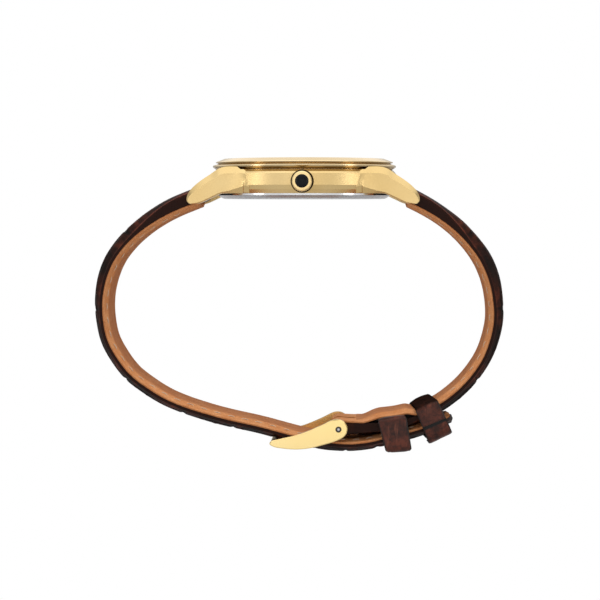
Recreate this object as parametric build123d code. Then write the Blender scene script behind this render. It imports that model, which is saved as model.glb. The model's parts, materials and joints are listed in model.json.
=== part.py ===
from build123d import *
import math
import os

# A thin gold dress wristwatch on a two-piece leather strap, shown fastened.
# Millimetres. Origin: centre of the case back's outer face. +Z is dial up,
# +X is towards 12 o'clock and the short strap, -Y is 3 o'clock and the crown.

# ---------------------------------------------------------------- dimensions
# case
CASE_R = 19.5
CASE_Z0, CASE_Z1 = 1.10, 6.05
BAND_Z0, BAND_Z1 = 2.80, 5.24   # brushed band between the two polished bevels
BORE_R = 17.60                  # movement bore
NECK_R, NECK_Z = 18.42, 5.02    # counterbore that takes the bezel's neck
LUG_IN = 10.05                  # half of the width between the lugs
CROWN_RECESS_R = 2.30
BAR_X, BAR_Z = 22.0, 0.65       # spring bar axis in the lugs
LUG_HOLE_R = 0.44

# case back
BACK_R, BACK_FACE_R, BACK_PLUG_R = 18.2, 17.0, 17.55

# glazing and dial
BEZEL_R, BEZEL_TOP_R, BEZEL_TOP = 19.45, 16.9, 8.47
CRYSTAL_R, CRYSTAL_Z0, CRYSTAL_Z1 = 15.90, 7.12, 8.38
DIAL_R, DIAL_Z0, DIAL_Z1 = 17.30, 5.37, 5.75
HOUR_HAND_Z, MINUTE_HAND_Z, SECONDS_HAND_Z = 6.05, 6.38, 6.68   # undersides
HAND_T = 0.12                   # hour and minute hands

# crown and stem; distances along the stem run outwards along -Y
CROWN_Z = 3.54
CROWN_R, CROWN_RING_R, CABOCHON_R = 2.16, 2.04, 1.38
CROWN_START, CROWN_END = 19.75, 22.45
FLUTES, FLUTE_R = 30, 0.11
TUBE_R, TUBE_BORE = 1.15, 0.75
STEM_R = 0.60

# movement; places are (x, y)
MOVEMENT_R, RING_R = 12.80, 17.50
PLATE_Z0, PLATE_Z1 = 3.45, 5.35
BRIDGE_Z0, BRIDGE_Z1 = 1.90, 2.15
CENTRE = (0, 0)
THIRD = (2.83, 2.83)
FIFTH = (-2.206, 2.206)
ROTOR = (-3.988, 3.988)
MINUTE = (0.0, -3.0)
SETTING = (0.0, -6.25)
BATTERY = (7.6, -4.2)
PILLARS = [(-1.0, 7.6), (6.9, 4.4), (-6.9, -3.9), (3.4, -6.2)]
LEVER_PIVOT, YOKE_PIVOT = (2.6, -10.4), (-3.2, -9.9)
PIVOT_R, PIVOT_HOLE_R, PIVOT_Z0 = 0.14, 0.16, 1.95
COIL = Pos(-8.1, 5.2, 3.45) * Rot(0, 0, 50)      # frame with X along the coil

# spring bars
BAR_TUBE_R, BAR_BORE = 0.90, 0.62
BAR_HALF, BUCKLE_BAR_HALF = 9.35, 8.45           # half lengths of the tubes
BAR_TIP_R, BUCKLE_TIP_R, BAR_SHANK_R = 0.40, 0.52, 0.585
SHANK_DEPTH = 1.9                                # tip's shank inside the tube
BUCKLE_X, BUCKLE_Z = 7.37, -48.20
BAR_HOLE_R = BAR_TUBE_R + 0.03                   # hole round a bar's tube
SPRING_PITCH, SPRING_R, SPRING_WIRE_R = 0.75, 0.46, 0.08

# strap
LINING_T, SKIN_T, LAYER_GAP = 0.75, 0.90, 0.03
WIDTH_LUG, WIDTH_BUCKLE = 19.7, 18.0
TAPER_LENGTH = 52.0             # length over which the width tapers
STRAP_R = 1.875                 # rounded strap end about the lug spring bar
STRAP_INSIDE = (0, -25)         # x, z of a point inside the strap's loop
MAX_LIFT = 0.82                 # lining's rise over the fixed keeper

# keepers and buckle: half widths inside and out
KEEPER_IN, KEEPER_OUT = 9.35, 10.4
ARM_IN, ARM_OUT = 9.12, 10.4
TONGUE_HALF = 0.8

os.makedirs("parts", exist_ok=True)


# ------------------------------------------------------------------- helpers
def disc(radius, z0, z1, x=0.0, y=0.0):
    # cylinder along Z
    return Pos(x, y, (z0 + z1) / 2) * Cylinder(radius, z1 - z0)


def rod(radius, y0, y1, x, z):
    # cylinder along Y
    return Pos(x, (y0 + y1) / 2, z) * Rot(90, 0, 0) * Cylinder(radius, abs(y1 - y0))


def block(x0, x1, y0, y1, z0, z1):
    return Pos((x0 + x1) / 2, (y0 + y1) / 2, (z0 + z1) / 2) * Box(x1 - x0, y1 - y0, z1 - z0)


def polygon(points):
    return make_face(Polyline(*points, close=True))


def turned(points):
    # points are (radius, z), turned about Z
    return revolve(Plane.XZ * polygon(points), Axis.Z)


def stem_turned(points):
    # points are (radius, distance outwards along -Y), turned about the stem axis
    face = polygon([(radius, -distance) for radius, distance in points])
    return Pos(0, 0, CROWN_Z) * revolve(Plane.XY * face, Axis.Y)


def prism_y(points, y0, y1):
    return extrude(Plane.XZ.offset(-y1) * polygon(points), amount=y1 - y0)


def prism_z(points, z0, z1):
    return extrude(Plane.XY.offset(z0) * polygon(points), amount=z1 - z0)


def polygon_3d(points):
    return Face(Wire.make_polygon([Vector(*point) for point in points], close=True))


def save(name, *shapes):
    solids = [solid for shape in shapes for solid in shape.solids()]
    export_step(Compound(children=solids) if len(solids) > 1 else solids[0],
                f"parts/{name}.step")


# ---------------------------------------------------------------------- case
# each row: top point x z, bottom point x z, outer y, upper bevel drop and inset,
# lower bevel drop and inset
LUG_SECTIONS = [
    (11.0, 5.95, 11.0, 1.14, 15.97, 0.75, 0.75, 1.30, 1.10),
    (12.4, 6.45, 12.3, 1.14, 15.38, 1.21, 0.88, 1.45, 1.15),
    (14.2, 6.65, 13.6, 1.12, 14.74, 1.40, 0.98, 1.02, 0.92),
    (16.0, 6.62, 15.0, 1.12, 14.14, 1.40, 1.02, 0.58, 0.56),
    (17.4, 6.26, 16.0, 1.12, 13.78, 1.32, 1.02, 0.38, 0.38),
    (18.4, 5.66, 16.9, 1.05, 13.54, 1.25, 1.02, 0.30, 0.30),
    (19.4, 4.96, 17.6, 0.80, 13.36, 1.20, 1.00, 0.28, 0.28),
    (20.5, 4.26, 18.4, 0.43, 13.18, 1.15, 0.98, 0.27, 0.27),
    (21.5, 3.56, 19.3, 0.00, 13.03, 1.10, 0.95, 0.27, 0.27),
    (22.45, 2.80, 20.3, -0.48, 12.88, 1.00, 0.90, 0.27, 0.27),
    (23.2, 2.06, 21.3, -0.90, 12.76, 0.85, 0.80, 0.27, 0.27),
    (23.88, 1.10, 22.3, -1.12, 12.65, 0.62, 0.60, 0.26, 0.26),
    (24.2, -0.10, 23.2, -1.15, 12.54, 0.32, 0.32, 0.22, 0.24),
    (24.16, -0.50, 23.68, -1.02, 12.44, 0.14, 0.16, 0.14, 0.16),
]


def lug():
    # the lug at +X, +Y
    sections = []
    for (top_x, top_z, low_x, low_z, outer_y,
         top_drop, top_inset, low_drop, low_inset) in LUG_SECTIONS:
        length = math.hypot(low_x - top_x, low_z - top_z)
        down_x, down_z = (low_x - top_x) / length, (low_z - top_z) / length
        sections.append(polygon_3d([
            (top_x, LUG_IN, top_z),
            (top_x, outer_y - top_inset, top_z),
            (top_x + down_x * top_drop, outer_y, top_z + down_z * top_drop),
            (low_x - down_x * low_drop, outer_y, low_z - down_z * low_drop),
            (low_x, outer_y - low_inset, low_z),
            (low_x, LUG_IN, low_z),
        ]))
    return loft(sections)


def case_middle():
    case = turned([
        (15.0, CASE_Z0), (18.3, CASE_Z0), (19.02, 1.92), (CASE_R, BAND_Z0),
        (CASE_R, BAND_Z1), (18.90, 5.97), (18.72, CASE_Z1), (15.0, CASE_Z1),
    ])
    first = lug()
    lugs = [first, mirror(first, Plane.XZ)]
    lugs += [mirror(each, Plane.YZ) for each in lugs]
    for each in lugs:
        case = case + each
    case = case - disc(CASE_R + 0.05, CASE_Z1, 9.0)                     # bezel seat
    case = case - disc(BORE_R, 0.0, 9.0) - disc(NECK_R, NECK_Z, 9.0)
    case = case - rod(CROWN_RECESS_R, -30.0, -18.95, 0, CROWN_Z)
    case = case - rod(TUBE_R + 0.01, -30.0, -10.0, 0, CROWN_Z)
    for side_x in (-1, 1):
        for side_y in (-1, 1):
            case = case - rod(LUG_HOLE_R, side_y * 9.5, side_y * 11.35, side_x * BAR_X, BAR_Z)
    return case


save("case_middle", case_middle())

save("bezel", turned([
    (16.32, 7.05), (16.32, 8.38), (16.42, BEZEL_TOP), (BEZEL_TOP_R, BEZEL_TOP),
    (17.05, 8.43), (18.74, 7.78), (18.80, 7.68), (18.78, 7.60), (18.36, 7.50),
    (18.30, 7.42), (18.34, 7.34), (19.28, 7.06), (19.42, 6.95), (BEZEL_R, 6.80),
    (19.38, 6.62), (18.72, 6.18), (18.60, 6.08), (18.40, 6.08), (18.40, NECK_Z + 0.03),
    (17.52, NECK_Z + 0.03), (17.52, 6.86), (15.60, 6.86), (15.60, 7.05),
]))

save("crystal", turned([
    (0, CRYSTAL_Z0), (CRYSTAL_R - 0.12, CRYSTAL_Z0), (CRYSTAL_R, CRYSTAL_Z0 + 0.12),
    (CRYSTAL_R, CRYSTAL_Z1 - 0.35), (CRYSTAL_R - 0.32, CRYSTAL_Z1), (0, CRYSTAL_Z1),
]))
save("crystal_gasket", turned([(15.92, 7.07), (16.30, 7.07), (16.30, 8.02), (15.92, 8.02)]))

# the sloping ring between the dial and the crystal
save("dial_ring", turned([
    (17.48, DIAL_Z1 + 0.02), (17.48, 6.84), (15.75, 6.84), (15.66, 6.74), (16.35, DIAL_Z1 + 0.02),
]))

# the back has a shallow groove in its outer face and a gasket groove in its plug
save("case_back", turned([
    (0, 0), (BACK_FACE_R - 3.2, 0), (BACK_FACE_R - 3.2, 0.12), (BACK_FACE_R - 2.8, 0.12),
    (BACK_FACE_R - 2.8, 0), (BACK_FACE_R, 0), (17.45, 0.18), (BACK_R - 0.05, 0.66),
    (BACK_R, 0.74), (BACK_R, CASE_Z0 - 0.02), (BACK_PLUG_R, CASE_Z0 - 0.02),
    (BACK_PLUG_R, 1.20), (17.15, 1.20), (17.15, 1.62), (BACK_PLUG_R, 1.62),
    (BACK_PLUG_R, 1.84), (16.5, 1.84), (16.5, 0.85), (0, 0.85),
]))
save("case_back_gasket", turned([(17.17, 1.23), (17.57, 1.23), (17.57, 1.59), (17.17, 1.59)]))

# ------------------------------------------------------------- dial and hands
save("dial", disc(DIAL_R, DIAL_Z0, DIAL_Z1) - disc(1.05, 5.0, 6.0))


def hour_marker(hour):
    # every third marker is longer and wider
    half_width, start = (0.50, 12.1) if hour % 3 == 0 else (0.30, 12.6)
    z0, z1 = DIAL_Z1 + 0.01, DIAL_Z1 + 0.30
    side = [(start, z0), (start + 0.12, z1), (15.05, z1), (15.2, z0)]
    return Rot(0, 0, hour * 30.0) * prism_y(side, -half_width, half_width)


save("hour_markers", *[hour_marker(hour) for hour in range(12)])


def leaf_hand(length, tail, width, z, boss_r, bore, angle):
    # a slim leaf hand pointing along +X before it is turned
    outline = [(-tail, -width * 0.28), (-tail, width * 0.28), (0, width * 0.42),
               (length * 0.55, width / 2), (length, 0.05), (length, -0.05),
               (length * 0.55, -width / 2), (0, -width * 0.42)]
    blade = prism_z(outline, z, z + HAND_T) + disc(boss_r, z - 0.05, z + HAND_T)
    return Rot(0, 0, angle) * (blade - disc(bore, z - 1, z + 1))


def seconds_hand():
    outline = [(-4.2, -0.16), (-4.2, 0.16), (0, 0.13), (14.2, 0.05), (14.2, -0.05), (0, -0.13)]
    needle = prism_z(outline, SECONDS_HAND_Z, SECONDS_HAND_Z + 0.09)
    needle = needle + disc(0.55, SECONDS_HAND_Z - 0.08, SECONDS_HAND_Z + 0.14)
    return Rot(0, 0, 150) * (needle - disc(0.145, 6.0, 8.0))


save("hour_hand", leaf_hand(length=8.8, tail=2.2, width=1.50, z=HOUR_HAND_Z,
                            boss_r=1.25, bore=0.860, angle=55.0))
save("minute_hand", leaf_hand(length=13.6, tail=2.6, width=1.20, z=MINUTE_HAND_Z,
                              boss_r=0.95, bore=0.630, angle=-55.0))
save("seconds_hand", seconds_hand())

# ------------------------------------------------------------- crown and stem
save("case_tube", stem_turned([
    (TUBE_BORE, 17.65), (TUBE_R, 17.65), (TUBE_R, 21.15), (TUBE_BORE, 21.15)]))


def fluted_crown():
    # a straight fluted barrel, a groove and a plain outer ring
    crown = stem_turned([
        (1.72, CROWN_START), (2.00, CROWN_START), (CROWN_R, CROWN_START + 0.18),
        (CROWN_R, 21.55), (2.08, 21.72), (1.96, 21.80), (1.96, 21.92),
        (CROWN_RING_R, 21.98), (CROWN_RING_R, 22.20), (1.84, CROWN_END),
        (CABOCHON_R + 0.02, CROWN_END), (CABOCHON_R + 0.02, 22.05), (0.62, 22.05),
        (0.62, 21.20), (1.72, 21.20),
    ])
    circle_r = CROWN_R + 0.02
    for i in range(FLUTES):
        angle = 2 * math.pi * i / FLUTES
        crown = crown - rod(FLUTE_R, -21.85, -19.6, circle_r * math.cos(angle),
                            CROWN_Z + circle_r * math.sin(angle))
    return crown


save("crown", fluted_crown())
save("crown_cabochon", stem_turned([
    (0, 22.07), (CABOCHON_R, 22.07), (CABOCHON_R, 22.50), (1.22, 22.66), (0.98, 22.80),
    (0.66, 22.90), (0.33, 22.95), (0, 22.965),
]))
save("crown_gasket", stem_turned([(1.17, 19.85), (1.70, 19.85), (1.70, 20.45), (1.17, 20.45)]))

# the stem with the groove of the setting lever and its thin end in the clutch
save("winding_stem", stem_turned([
    (0, 6.90), (0.34, 6.90), (0.34, 10.00), (STEM_R, 10.00), (STEM_R, 10.60),
    (0.30, 10.60), (0.30, 11.40), (STEM_R, 11.40), (STEM_R, 22.04), (0, 22.04),
]))

# -------------------------------------------------- movement plate and bridge
movement_ring = turned([
    (MOVEMENT_R + 0.05, 1.95), (RING_R, 1.95), (RING_R, 4.95), (17.3, 5.0), (17.3, 5.34),
    (MOVEMENT_R + 0.05, 5.34),
])
save("movement_ring", movement_ring - rod(0.78, -20.0, -10.0, 0, CROWN_Z))


def main_plate():
    rim = disc(MOVEMENT_R, 1.95, PLATE_Z0) - disc(12.2, 1.0, PLATE_Z0)
    plate = disc(MOVEMENT_R, PLATE_Z0, PLATE_Z1) + rim
    for x, y in PILLARS:
        plate = plate + disc(0.75, BRIDGE_Z1 + 0.01, PLATE_Z0, x, y)
    plate = plate - disc(0.37, 1.0, 9.0)                               # centre hole
    plate = plate - disc(3.45, 1.0, 3.95, *BATTERY)                    # battery well
    plate = plate - disc(1.25, 3.0, 4.05, *ROTOR)                      # rotor well
    # motion works recess, then the setting wheel's
    plate = plate - disc(2.75, 4.68, 6.0) - disc(2.60, 4.68, 6.0, *MINUTE)
    plate = plate - disc(1.30, 4.20, 6.0, *SETTING)
    plate = plate - rod(0.66, -20.0, -8.2, 0, CROWN_Z)                 # stem channel
    plate = plate - block(-1.2, 1.2, -10.1, -7.5, 1.0, 6.0)            # clutch slot
    plate = plate - rod(0.37, -8.0, -6.7, 0, CROWN_Z)                  # stem pivot bearing
    plate = plate - block(-0.9, 4.6, -12.6, -7.9, 4.20, 6.0)           # setting lever recess
    plate = plate - block(-0.75, 1.05, -12.45, -10.0, 3.70, 6.0)       # slot for lever's pin
    plate = plate - block(-4.9, -0.9, -11.2, -7.9, 4.20, 6.0)          # yoke recess
    plate = plate - (COIL * Box(10.4, 2.4, 1.8))                       # coil well
    plate = plate - block(-10.6, -5.0, -3.2, 0.2, 3.0, 3.9)            # oscillator well
    for x, y in (THIRD, FIFTH):
        plate = plate - disc(PIVOT_HOLE_R, 3.0, 3.9, x, y)
    for x, y in PILLARS:
        plate = plate - disc(0.27, 1.0, 3.6, x, y)                     # screw hole
    # posts that the minute and setting wheels, the lever and the yoke turn on
    plate = plate + disc(0.20, 4.60, 5.30, *MINUTE) + disc(0.20, 4.10, 5.20, *SETTING)
    return plate + disc(0.24, 4.10, 5.0, *LEVER_PIVOT) + disc(0.24, 4.10, 5.0, *YOKE_PIVOT)


save("main_plate", main_plate())


def bridge_disc(radius, place=CENTRE):
    return disc(radius, BRIDGE_Z0, BRIDGE_Z1, *place)


def bridge_arm(place, width):
    # flat bar from the centre to a place
    x, y = place
    turn = Rot(0, 0, math.degrees(math.atan2(y, x)))
    bar = Box(math.hypot(x, y), width, BRIDGE_Z1 - BRIDGE_Z0)
    return Pos(x / 2, y / 2, (BRIDGE_Z0 + BRIDGE_Z1) / 2) * turn * bar


def train_bridge():
    bridge = bridge_disc(3.2) + bridge_disc(1.3, ROTOR)
    for pillar in PILLARS:
        bridge = bridge + bridge_arm(pillar, 1.6) + bridge_disc(0.95, pillar)
    bridge = bridge + bridge_disc(1.4, THIRD) + bridge_disc(1.3, FIFTH)
    bridge = bridge + bridge_arm(ROTOR, 1.8)
    for place in (CENTRE, THIRD, FIFTH, ROTOR):
        bridge = bridge - disc(PIVOT_HOLE_R, 1.0, 3.0, *place)
    for pillar in PILLARS:
        bridge = bridge - disc(0.28, 1.0, 3.0, *pillar)
    return bridge


def bridge_screw(x, y):
    screw = disc(0.50, 1.70, 1.89, x, y) + disc(0.25, 1.80, 3.40, x, y)
    return screw - Pos(x, y, 1.70) * Rot(0, 0, 35) * Box(1.2, 0.14, 0.14)


save("train_bridge", train_bridge())
save("bridge_screws", *[bridge_screw(x, y) for x, y in PILLARS])

# --------------------------------------------------------------------- wheels
# tooth counts: gear train, then motion works and setting wheel
ROTOR_TEETH = 6
FIFTH_TEETH, FIFTH_PINION = 36, 8
FOURTH_TEETH, FOURTH_PINION = 40, 8
THIRD_TEETH, THIRD_PINION = 60, 8
CENTRE_TEETH = 64
CANNON_TEETH = 12
MINUTE_TEETH, MINUTE_PINION = 36, 10
HOUR_TEETH = 40
SETTING_TEETH = 16


def module_for(distance, teeth_a, teeth_b):
    # module of two gears meshing with their centres this far apart
    return 2 * distance / (teeth_a + teeth_b)


ROTOR_MODULE = module_for(2.52, ROTOR_TEETH, FIFTH_TEETH)
FOURTH_MODULE = module_for(3.12, FOURTH_TEETH, FIFTH_PINION)
THIRD_MODULE = module_for(4.002, FOURTH_PINION, THIRD_TEETH)
CENTRE_MODULE = module_for(4.002, THIRD_PINION, CENTRE_TEETH)
CANNON_MODULE = module_for(3.0, CANNON_TEETH, MINUTE_TEETH)
HOUR_MODULE = module_for(3.0, MINUTE_PINION, HOUR_TEETH)


def gear(teeth, module, z0, z1, at=CENTRE, phase=0.0):
    # straight-sided teeth with generous backlash, as watch train teeth have
    pitch_r, points = teeth * module / 2, []
    tip_r, root_r = pitch_r + 0.85 * module, pitch_r - 1.2 * module
    step = 2 * math.pi / teeth
    for i in range(teeth):
        middle = phase + i * step
        for radius, share in ((root_r, -0.29), (tip_r, -0.11), (tip_r, 0.11), (root_r, 0.29)):
            angle = middle + share * step
            points.append((radius * math.cos(angle), radius * math.sin(angle)))
    return Pos(at[0], at[1], 0) * prism_z(points, z0, z1)


def mesh_phase(teeth_a, phase_a, a, teeth_b, b):
    # tooth phase of gear b, centred at b, that meshes with gear a, centred at a
    line = math.atan2(b[1] - a[1], b[0] - a[0])
    return line + math.pi + math.pi / teeth_b - (phase_a - line) * teeth_a / teeth_b


# tooth phases in radians
FOURTH_PHASE, FIFTH_PHASE, THIRD_PINION_PHASE = 0.3, 0.2, 0.1
fifth_pinion_phase = mesh_phase(FOURTH_TEETH, FOURTH_PHASE, CENTRE, FIFTH_PINION, FIFTH)
rotor_phase = mesh_phase(FIFTH_TEETH, FIFTH_PHASE, FIFTH, ROTOR_TEETH, ROTOR)
third_phase = mesh_phase(FOURTH_PINION, FOURTH_PHASE, CENTRE, THIRD_TEETH, THIRD)
centre_phase = mesh_phase(THIRD_PINION, THIRD_PINION_PHASE, THIRD, CENTRE_TEETH, CENTRE)
minute_phase = mesh_phase(CANNON_TEETH, 0.0, CENTRE, MINUTE_TEETH, MINUTE)
hour_phase = mesh_phase(MINUTE_PINION, 0.0, MINUTE, HOUR_TEETH, CENTRE)
setting_phase = mesh_phase(MINUTE_TEETH, minute_phase, MINUTE, SETTING_TEETH, SETTING)

# gear train
fourth = gear(FOURTH_TEETH, FOURTH_MODULE, 2.50, 2.62, phase=FOURTH_PHASE)
fourth = fourth + gear(FOURTH_PINION, THIRD_MODULE, 2.60, 3.02, phase=FOURTH_PHASE)
save("fourth_wheel", fourth + disc(PIVOT_R, PIVOT_Z0, 6.90))

fifth = gear(FIFTH_TEETH, ROTOR_MODULE, 2.24, 2.36, FIFTH, FIFTH_PHASE)
fifth = fifth + gear(FIFTH_PINION, FOURTH_MODULE, 2.34, 2.74, FIFTH, fifth_pinion_phase)
save("fifth_wheel", fifth + disc(PIVOT_R, PIVOT_Z0, 3.80, *FIFTH))

third = gear(THIRD_TEETH, THIRD_MODULE, 2.80, 2.92, THIRD, third_phase)
third = third + gear(THIRD_PINION, CENTRE_MODULE, 2.90, 3.38, THIRD, THIRD_PINION_PHASE)
save("third_wheel", third + disc(PIVOT_R, PIVOT_Z0, 3.80, *THIRD))

centre = gear(CENTRE_TEETH, CENTRE_MODULE, 3.14, 3.26, phase=centre_phase)
centre = centre + disc(0.62, 3.10, 3.40) + disc(0.35, 3.10, 6.00)
save("centre_wheel", centre - disc(0.17, 2.0, 7.0))

rotor = disc(0.90, 3.30, 3.90, *ROTOR)
rotor = rotor + gear(ROTOR_TEETH, ROTOR_MODULE, 2.20, 2.80, ROTOR, rotor_phase)
save("rotor", rotor + disc(PIVOT_R, PIVOT_Z0, 4.02, *ROTOR))

# motion works
cannon = gear(CANNON_TEETH, CANNON_MODULE, 4.74, 5.04) + disc(0.62, 4.74, 6.58)
save("cannon_pinion", cannon - disc(0.37, 4.0, 8.0))

hour_wheel = gear(HOUR_TEETH, HOUR_MODULE, 5.10, 5.24, phase=hour_phase)
hour_wheel = hour_wheel + disc(0.85, 5.08, 6.24)
save("hour_wheel", hour_wheel - disc(0.64, 4.0, 8.0))

minute_wheel = gear(MINUTE_TEETH, CANNON_MODULE, 4.80, 4.94, MINUTE, minute_phase)
minute_wheel = minute_wheel + gear(MINUTE_PINION, HOUR_MODULE, 4.94, 5.28, MINUTE)
save("minute_wheel", minute_wheel - disc(0.22, 4.0, 6.0, *MINUTE))

setting_wheel = gear(SETTING_TEETH, CANNON_MODULE, 4.30, 4.94, SETTING, setting_phase)
save("setting_wheel", setting_wheel - disc(0.22, 3.30, 5.94, *SETTING))


# -------------------------------------------------------------- keyless works
def sliding_pinion():
    # the clutch on the stem: a waisted sleeve with radial slots in its outer end
    clutch = stem_turned([
        (0.36, 7.90), (0.92, 7.90), (0.92, 8.55), (0.62, 8.55), (0.62, 9.05),
        (0.92, 9.05), (0.92, 9.70), (0.36, 9.70)])
    slots = 8
    for i in range(slots):
        turn = Rot(0, math.degrees(2 * math.pi * i / slots), 0)
        clutch = clutch - (Pos(0, -9.70, CROWN_Z) * turn * Pos(0.7, 0, 0) * Box(0.7, 0.3, 0.16))
    return clutch


save("sliding_pinion", sliding_pinion())

# the lever's pin sits in the stem's groove
lever = block(-0.25, 2.6, -11.15, -10.85, 4.24, 4.40) + disc(0.62, 4.24, 4.40, *LEVER_PIVOT)
lever = lever + disc(0.20, 3.92, 4.30, 0.0, -11.00) + block(1.9, 3.2, -11.15, -9.9, 4.24, 4.40)
save("setting_lever", lever - disc(0.26, 3.0, 6.0, *LEVER_PIVOT))

# the yoke's pin stands over the clutch's waist
yoke = block(-3.2, 0.30, -9.10, -8.50, 4.56, 4.70) + disc(0.60, 4.56, 4.70, *YOKE_PIVOT)
yoke = yoke + block(-3.7, -2.9, -10.0, -8.5, 4.56, 4.70) + disc(0.17, 4.24, 4.60, 0.0, -8.80)
save("yoke", yoke - disc(0.26, 3.0, 6.0, *YOKE_PIVOT))

# ------------------------------------------------------ power and electronics
battery_step = disc(4, 2.1, 2.42, *BATTERY) - disc(2.9, 2.0, 2.5, *BATTERY)
save("battery", disc(3.35, 2.28, 3.92, *BATTERY) - battery_step)

# a ring with a bar across it
battery_x, battery_y = BATTERY
clamp = disc(3.4, 2.10, 2.25, *BATTERY) - disc(2.1, 1.0, 3.0, *BATTERY)
clamp = clamp + block(battery_x - 2.6, battery_x + 2.6, battery_y - 0.5, battery_y + 0.5,
                      2.10, 2.25)
save("battery_clamp", clamp)

board = block(-10.4, -5.2, -8.2, -4.7, 3.26, 3.42) + block(-10.4, -7.9, -4.8, 0.6, 3.26, 3.42)
board = (board - block(-8.6, -5.0, -3.2, 0.2, 3.0, 3.9)) & disc(12.0, 3.0, 4.0)
save("circuit_board", board)
save("quartz_oscillator", Pos(-6.7, -1.5, 3.30) * Rot(0, 90, 0) * Cylinder(0.50, 2.7))

save("coil_core", COIL * Box(9.6, 1.1, 0.36))
winding = COIL * Rot(0, 90, 0) * Cylinder(0.86, 7.0)
save("coil_winding", winding - COIL * Box(12.0, 1.14, 0.40))
save("stator", block(-6.2, -2.3, 2.75, 5.2, 2.98, 3.14) - disc(1.12, 2.0, 4.0, *ROTOR))


# ---------------------------------------------------------------- spring bars
def bar_tube(half, x, z):
    return rod(BAR_TUBE_R, -half, half, x, z) - rod(BAR_BORE, -half - 1, half + 1, x, z)


def bar_tip(half, x, z, side, radius, reach):
    shank = rod(BAR_SHANK_R, side * (half - SHANK_DEPTH), side * (half + 0.35), x, z)
    return shank + rod(radius, side * (half + 0.3), side * (half + reach), x, z)


def bar_spring(half, x, z):
    length = 2 * (half - SHANK_DEPTH) - 0.5
    helix = Helix(pitch=SPRING_PITCH, height=length, radius=SPRING_R)
    wire = sweep(Plane(helix @ 0, z_dir=helix % 0) * Circle(SPRING_WIRE_R), path=helix)
    return Pos(x, length / 2, z) * Rot(90, 0, 0) * wire


# each row: name, (tube half length, x, z), tip radius, tip reach beyond the tube
BARS = [
    ("long", (BAR_HALF, -BAR_X, BAR_Z), BAR_TIP_R, 1.55),
    ("short", (BAR_HALF, BAR_X, BAR_Z), BAR_TIP_R, 1.55),
    ("buckle", (BUCKLE_BAR_HALF, BUCKLE_X, BUCKLE_Z), BUCKLE_TIP_R, 1.84),
]
bar_tubes = [bar_tube(*placing) for _, placing, _, _ in BARS]
save("case_spring_bar_tubes", *bar_tubes[:2])
save("buckle_spring_bar_tube", bar_tubes[2])
for bar_name, placing, tip_radius, tip_reach in BARS:
    for side_name, side in (("crown_side", -1), ("far_side", 1)):
        save(f"{bar_name}_bar_tip_{side_name}", bar_tip(*placing, side, tip_radius, tip_reach))
save("spring_bar_springs", *[bar_spring(*placing) for _, placing, _, _ in BARS])

# ---------------------------------------------------------------------- strap
# each row: x, z of the line between leather and lining, leather plus core
# thickness outside that line
LONG = [
    (-21.52, -0.40, 3.00), (-26.5, -2.40, 2.98), (-30.1, -4.2, 2.80), (-33.6, -6.5, 2.60),
    (-36.9, -9.4, 2.40), (-39.6, -12.9, 2.12), (-41.3, -16.9, 1.92), (-42.1, -21.1, 1.67),
    (-42.0, -25.5, 1.48), (-41.1, -29.7, 1.42), (-39.0, -33.6, 1.40), (-36.3, -37.0, 1.38),
    (-32.8, -39.7, 1.36), (-29.2, -41.9, 1.35), (-25.5, -43.5, 1.35), (-21.9, -44.7, 1.35),
    (-18.5, -45.7, 1.35), (-15.3, -46.5, 1.35), (-12.3, -47.15, 1.35), (-9.4, -47.8, 1.35),
    (-6.5, -48.55, 1.36), (-3.2, -49.45, 1.38), (0.0, -50.25, 1.42), (3.0, -50.85, 1.50),
    (5.8, -51.2, 1.55), (9.6, -51.45, 1.45), (13.4, -51.1, 1.42), (16.55, -50.4, 1.42),
    (19.6, -49.65, 1.40), (22.2, -48.95, 1.40), (25.1, -48.1, 1.35), (28.4, -47.0, 1.30),
    (31.3, -45.85, 1.25),
]
SHORT = [
    (21.52, -0.40, 3.00), (25.27, -2.28, 2.85), (28.55, -4.26, 2.70), (31.7, -6.7, 2.70),
    (34.6, -9.7, 2.65), (37.0, -13.1, 2.60), (38.7, -17.0, 2.35), (39.6, -21.1, 2.05),
    (39.8, -25.4, 1.90), (39.0, -29.6, 1.75), (37.5, -33.5, 1.62), (35.1, -37.1, 1.60),
    (32.2, -40.2, 1.56), (28.6, -42.95, 1.52), (24.6, -45.05, 1.50), (20.4, -46.3, 1.52),
    (16.4, -46.85, 1.58), (12.7, -46.95, 1.62),
]


def half_widths(stations):
    # taper from the lugs to the buckle width over the first part of the strap
    run = [0.0]
    for p, q in zip(stations, stations[1:]):
        run.append(run[-1] + math.hypot(q[0] - p[0], q[1] - p[1]))
    return [(WIDTH_LUG + (WIDTH_BUCKLE - WIDTH_LUG) * min(1.0, s / TAPER_LENGTH)) / 2
            for s in run]


def outward_normals(stations):
    normals = []
    for i, (x, z, _) in enumerate(stations):
        before, after = stations[max(0, i - 1)], stations[min(len(stations) - 1, i + 1)]
        dx, dz = after[0] - before[0], after[1] - before[1]
        length = math.hypot(dx, dz)
        nx, nz = -dz / length, dx / length
        if nx * (x - STRAP_INSIDE[0]) + nz * (z - STRAP_INSIDE[1]) < 0:
            nx, nz = -nx, -nz
        normals.append((nx, nz))
    return normals


def start_at_bar(stations, normal, bar):
    # move the first station so the bar is half way through the strap's thickness
    thickness = stations[0][2]
    middle = (thickness + LAYER_GAP - LINING_T) / 2
    start = (bar[0] - normal[0] * middle, bar[1] - normal[1] * middle, thickness)
    return [start] + stations[1:]


def strip(stations, normals, widths, inner, outer):
    # a flat strip between two lists of offsets from the line, outwards positive
    sections = []
    for (x, z, _), (nx, nz), w, low, high in zip(stations, normals, widths, inner, outer):
        sections.append(polygon_3d([
            (x + nx * low, -w, z + nz * low), (x + nx * low, w, z + nz * low),
            (x + nx * high, w, z + nz * high), (x + nx * high, -w, z + nz * high)]))
    return loft(sections, ruled=True)


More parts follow.
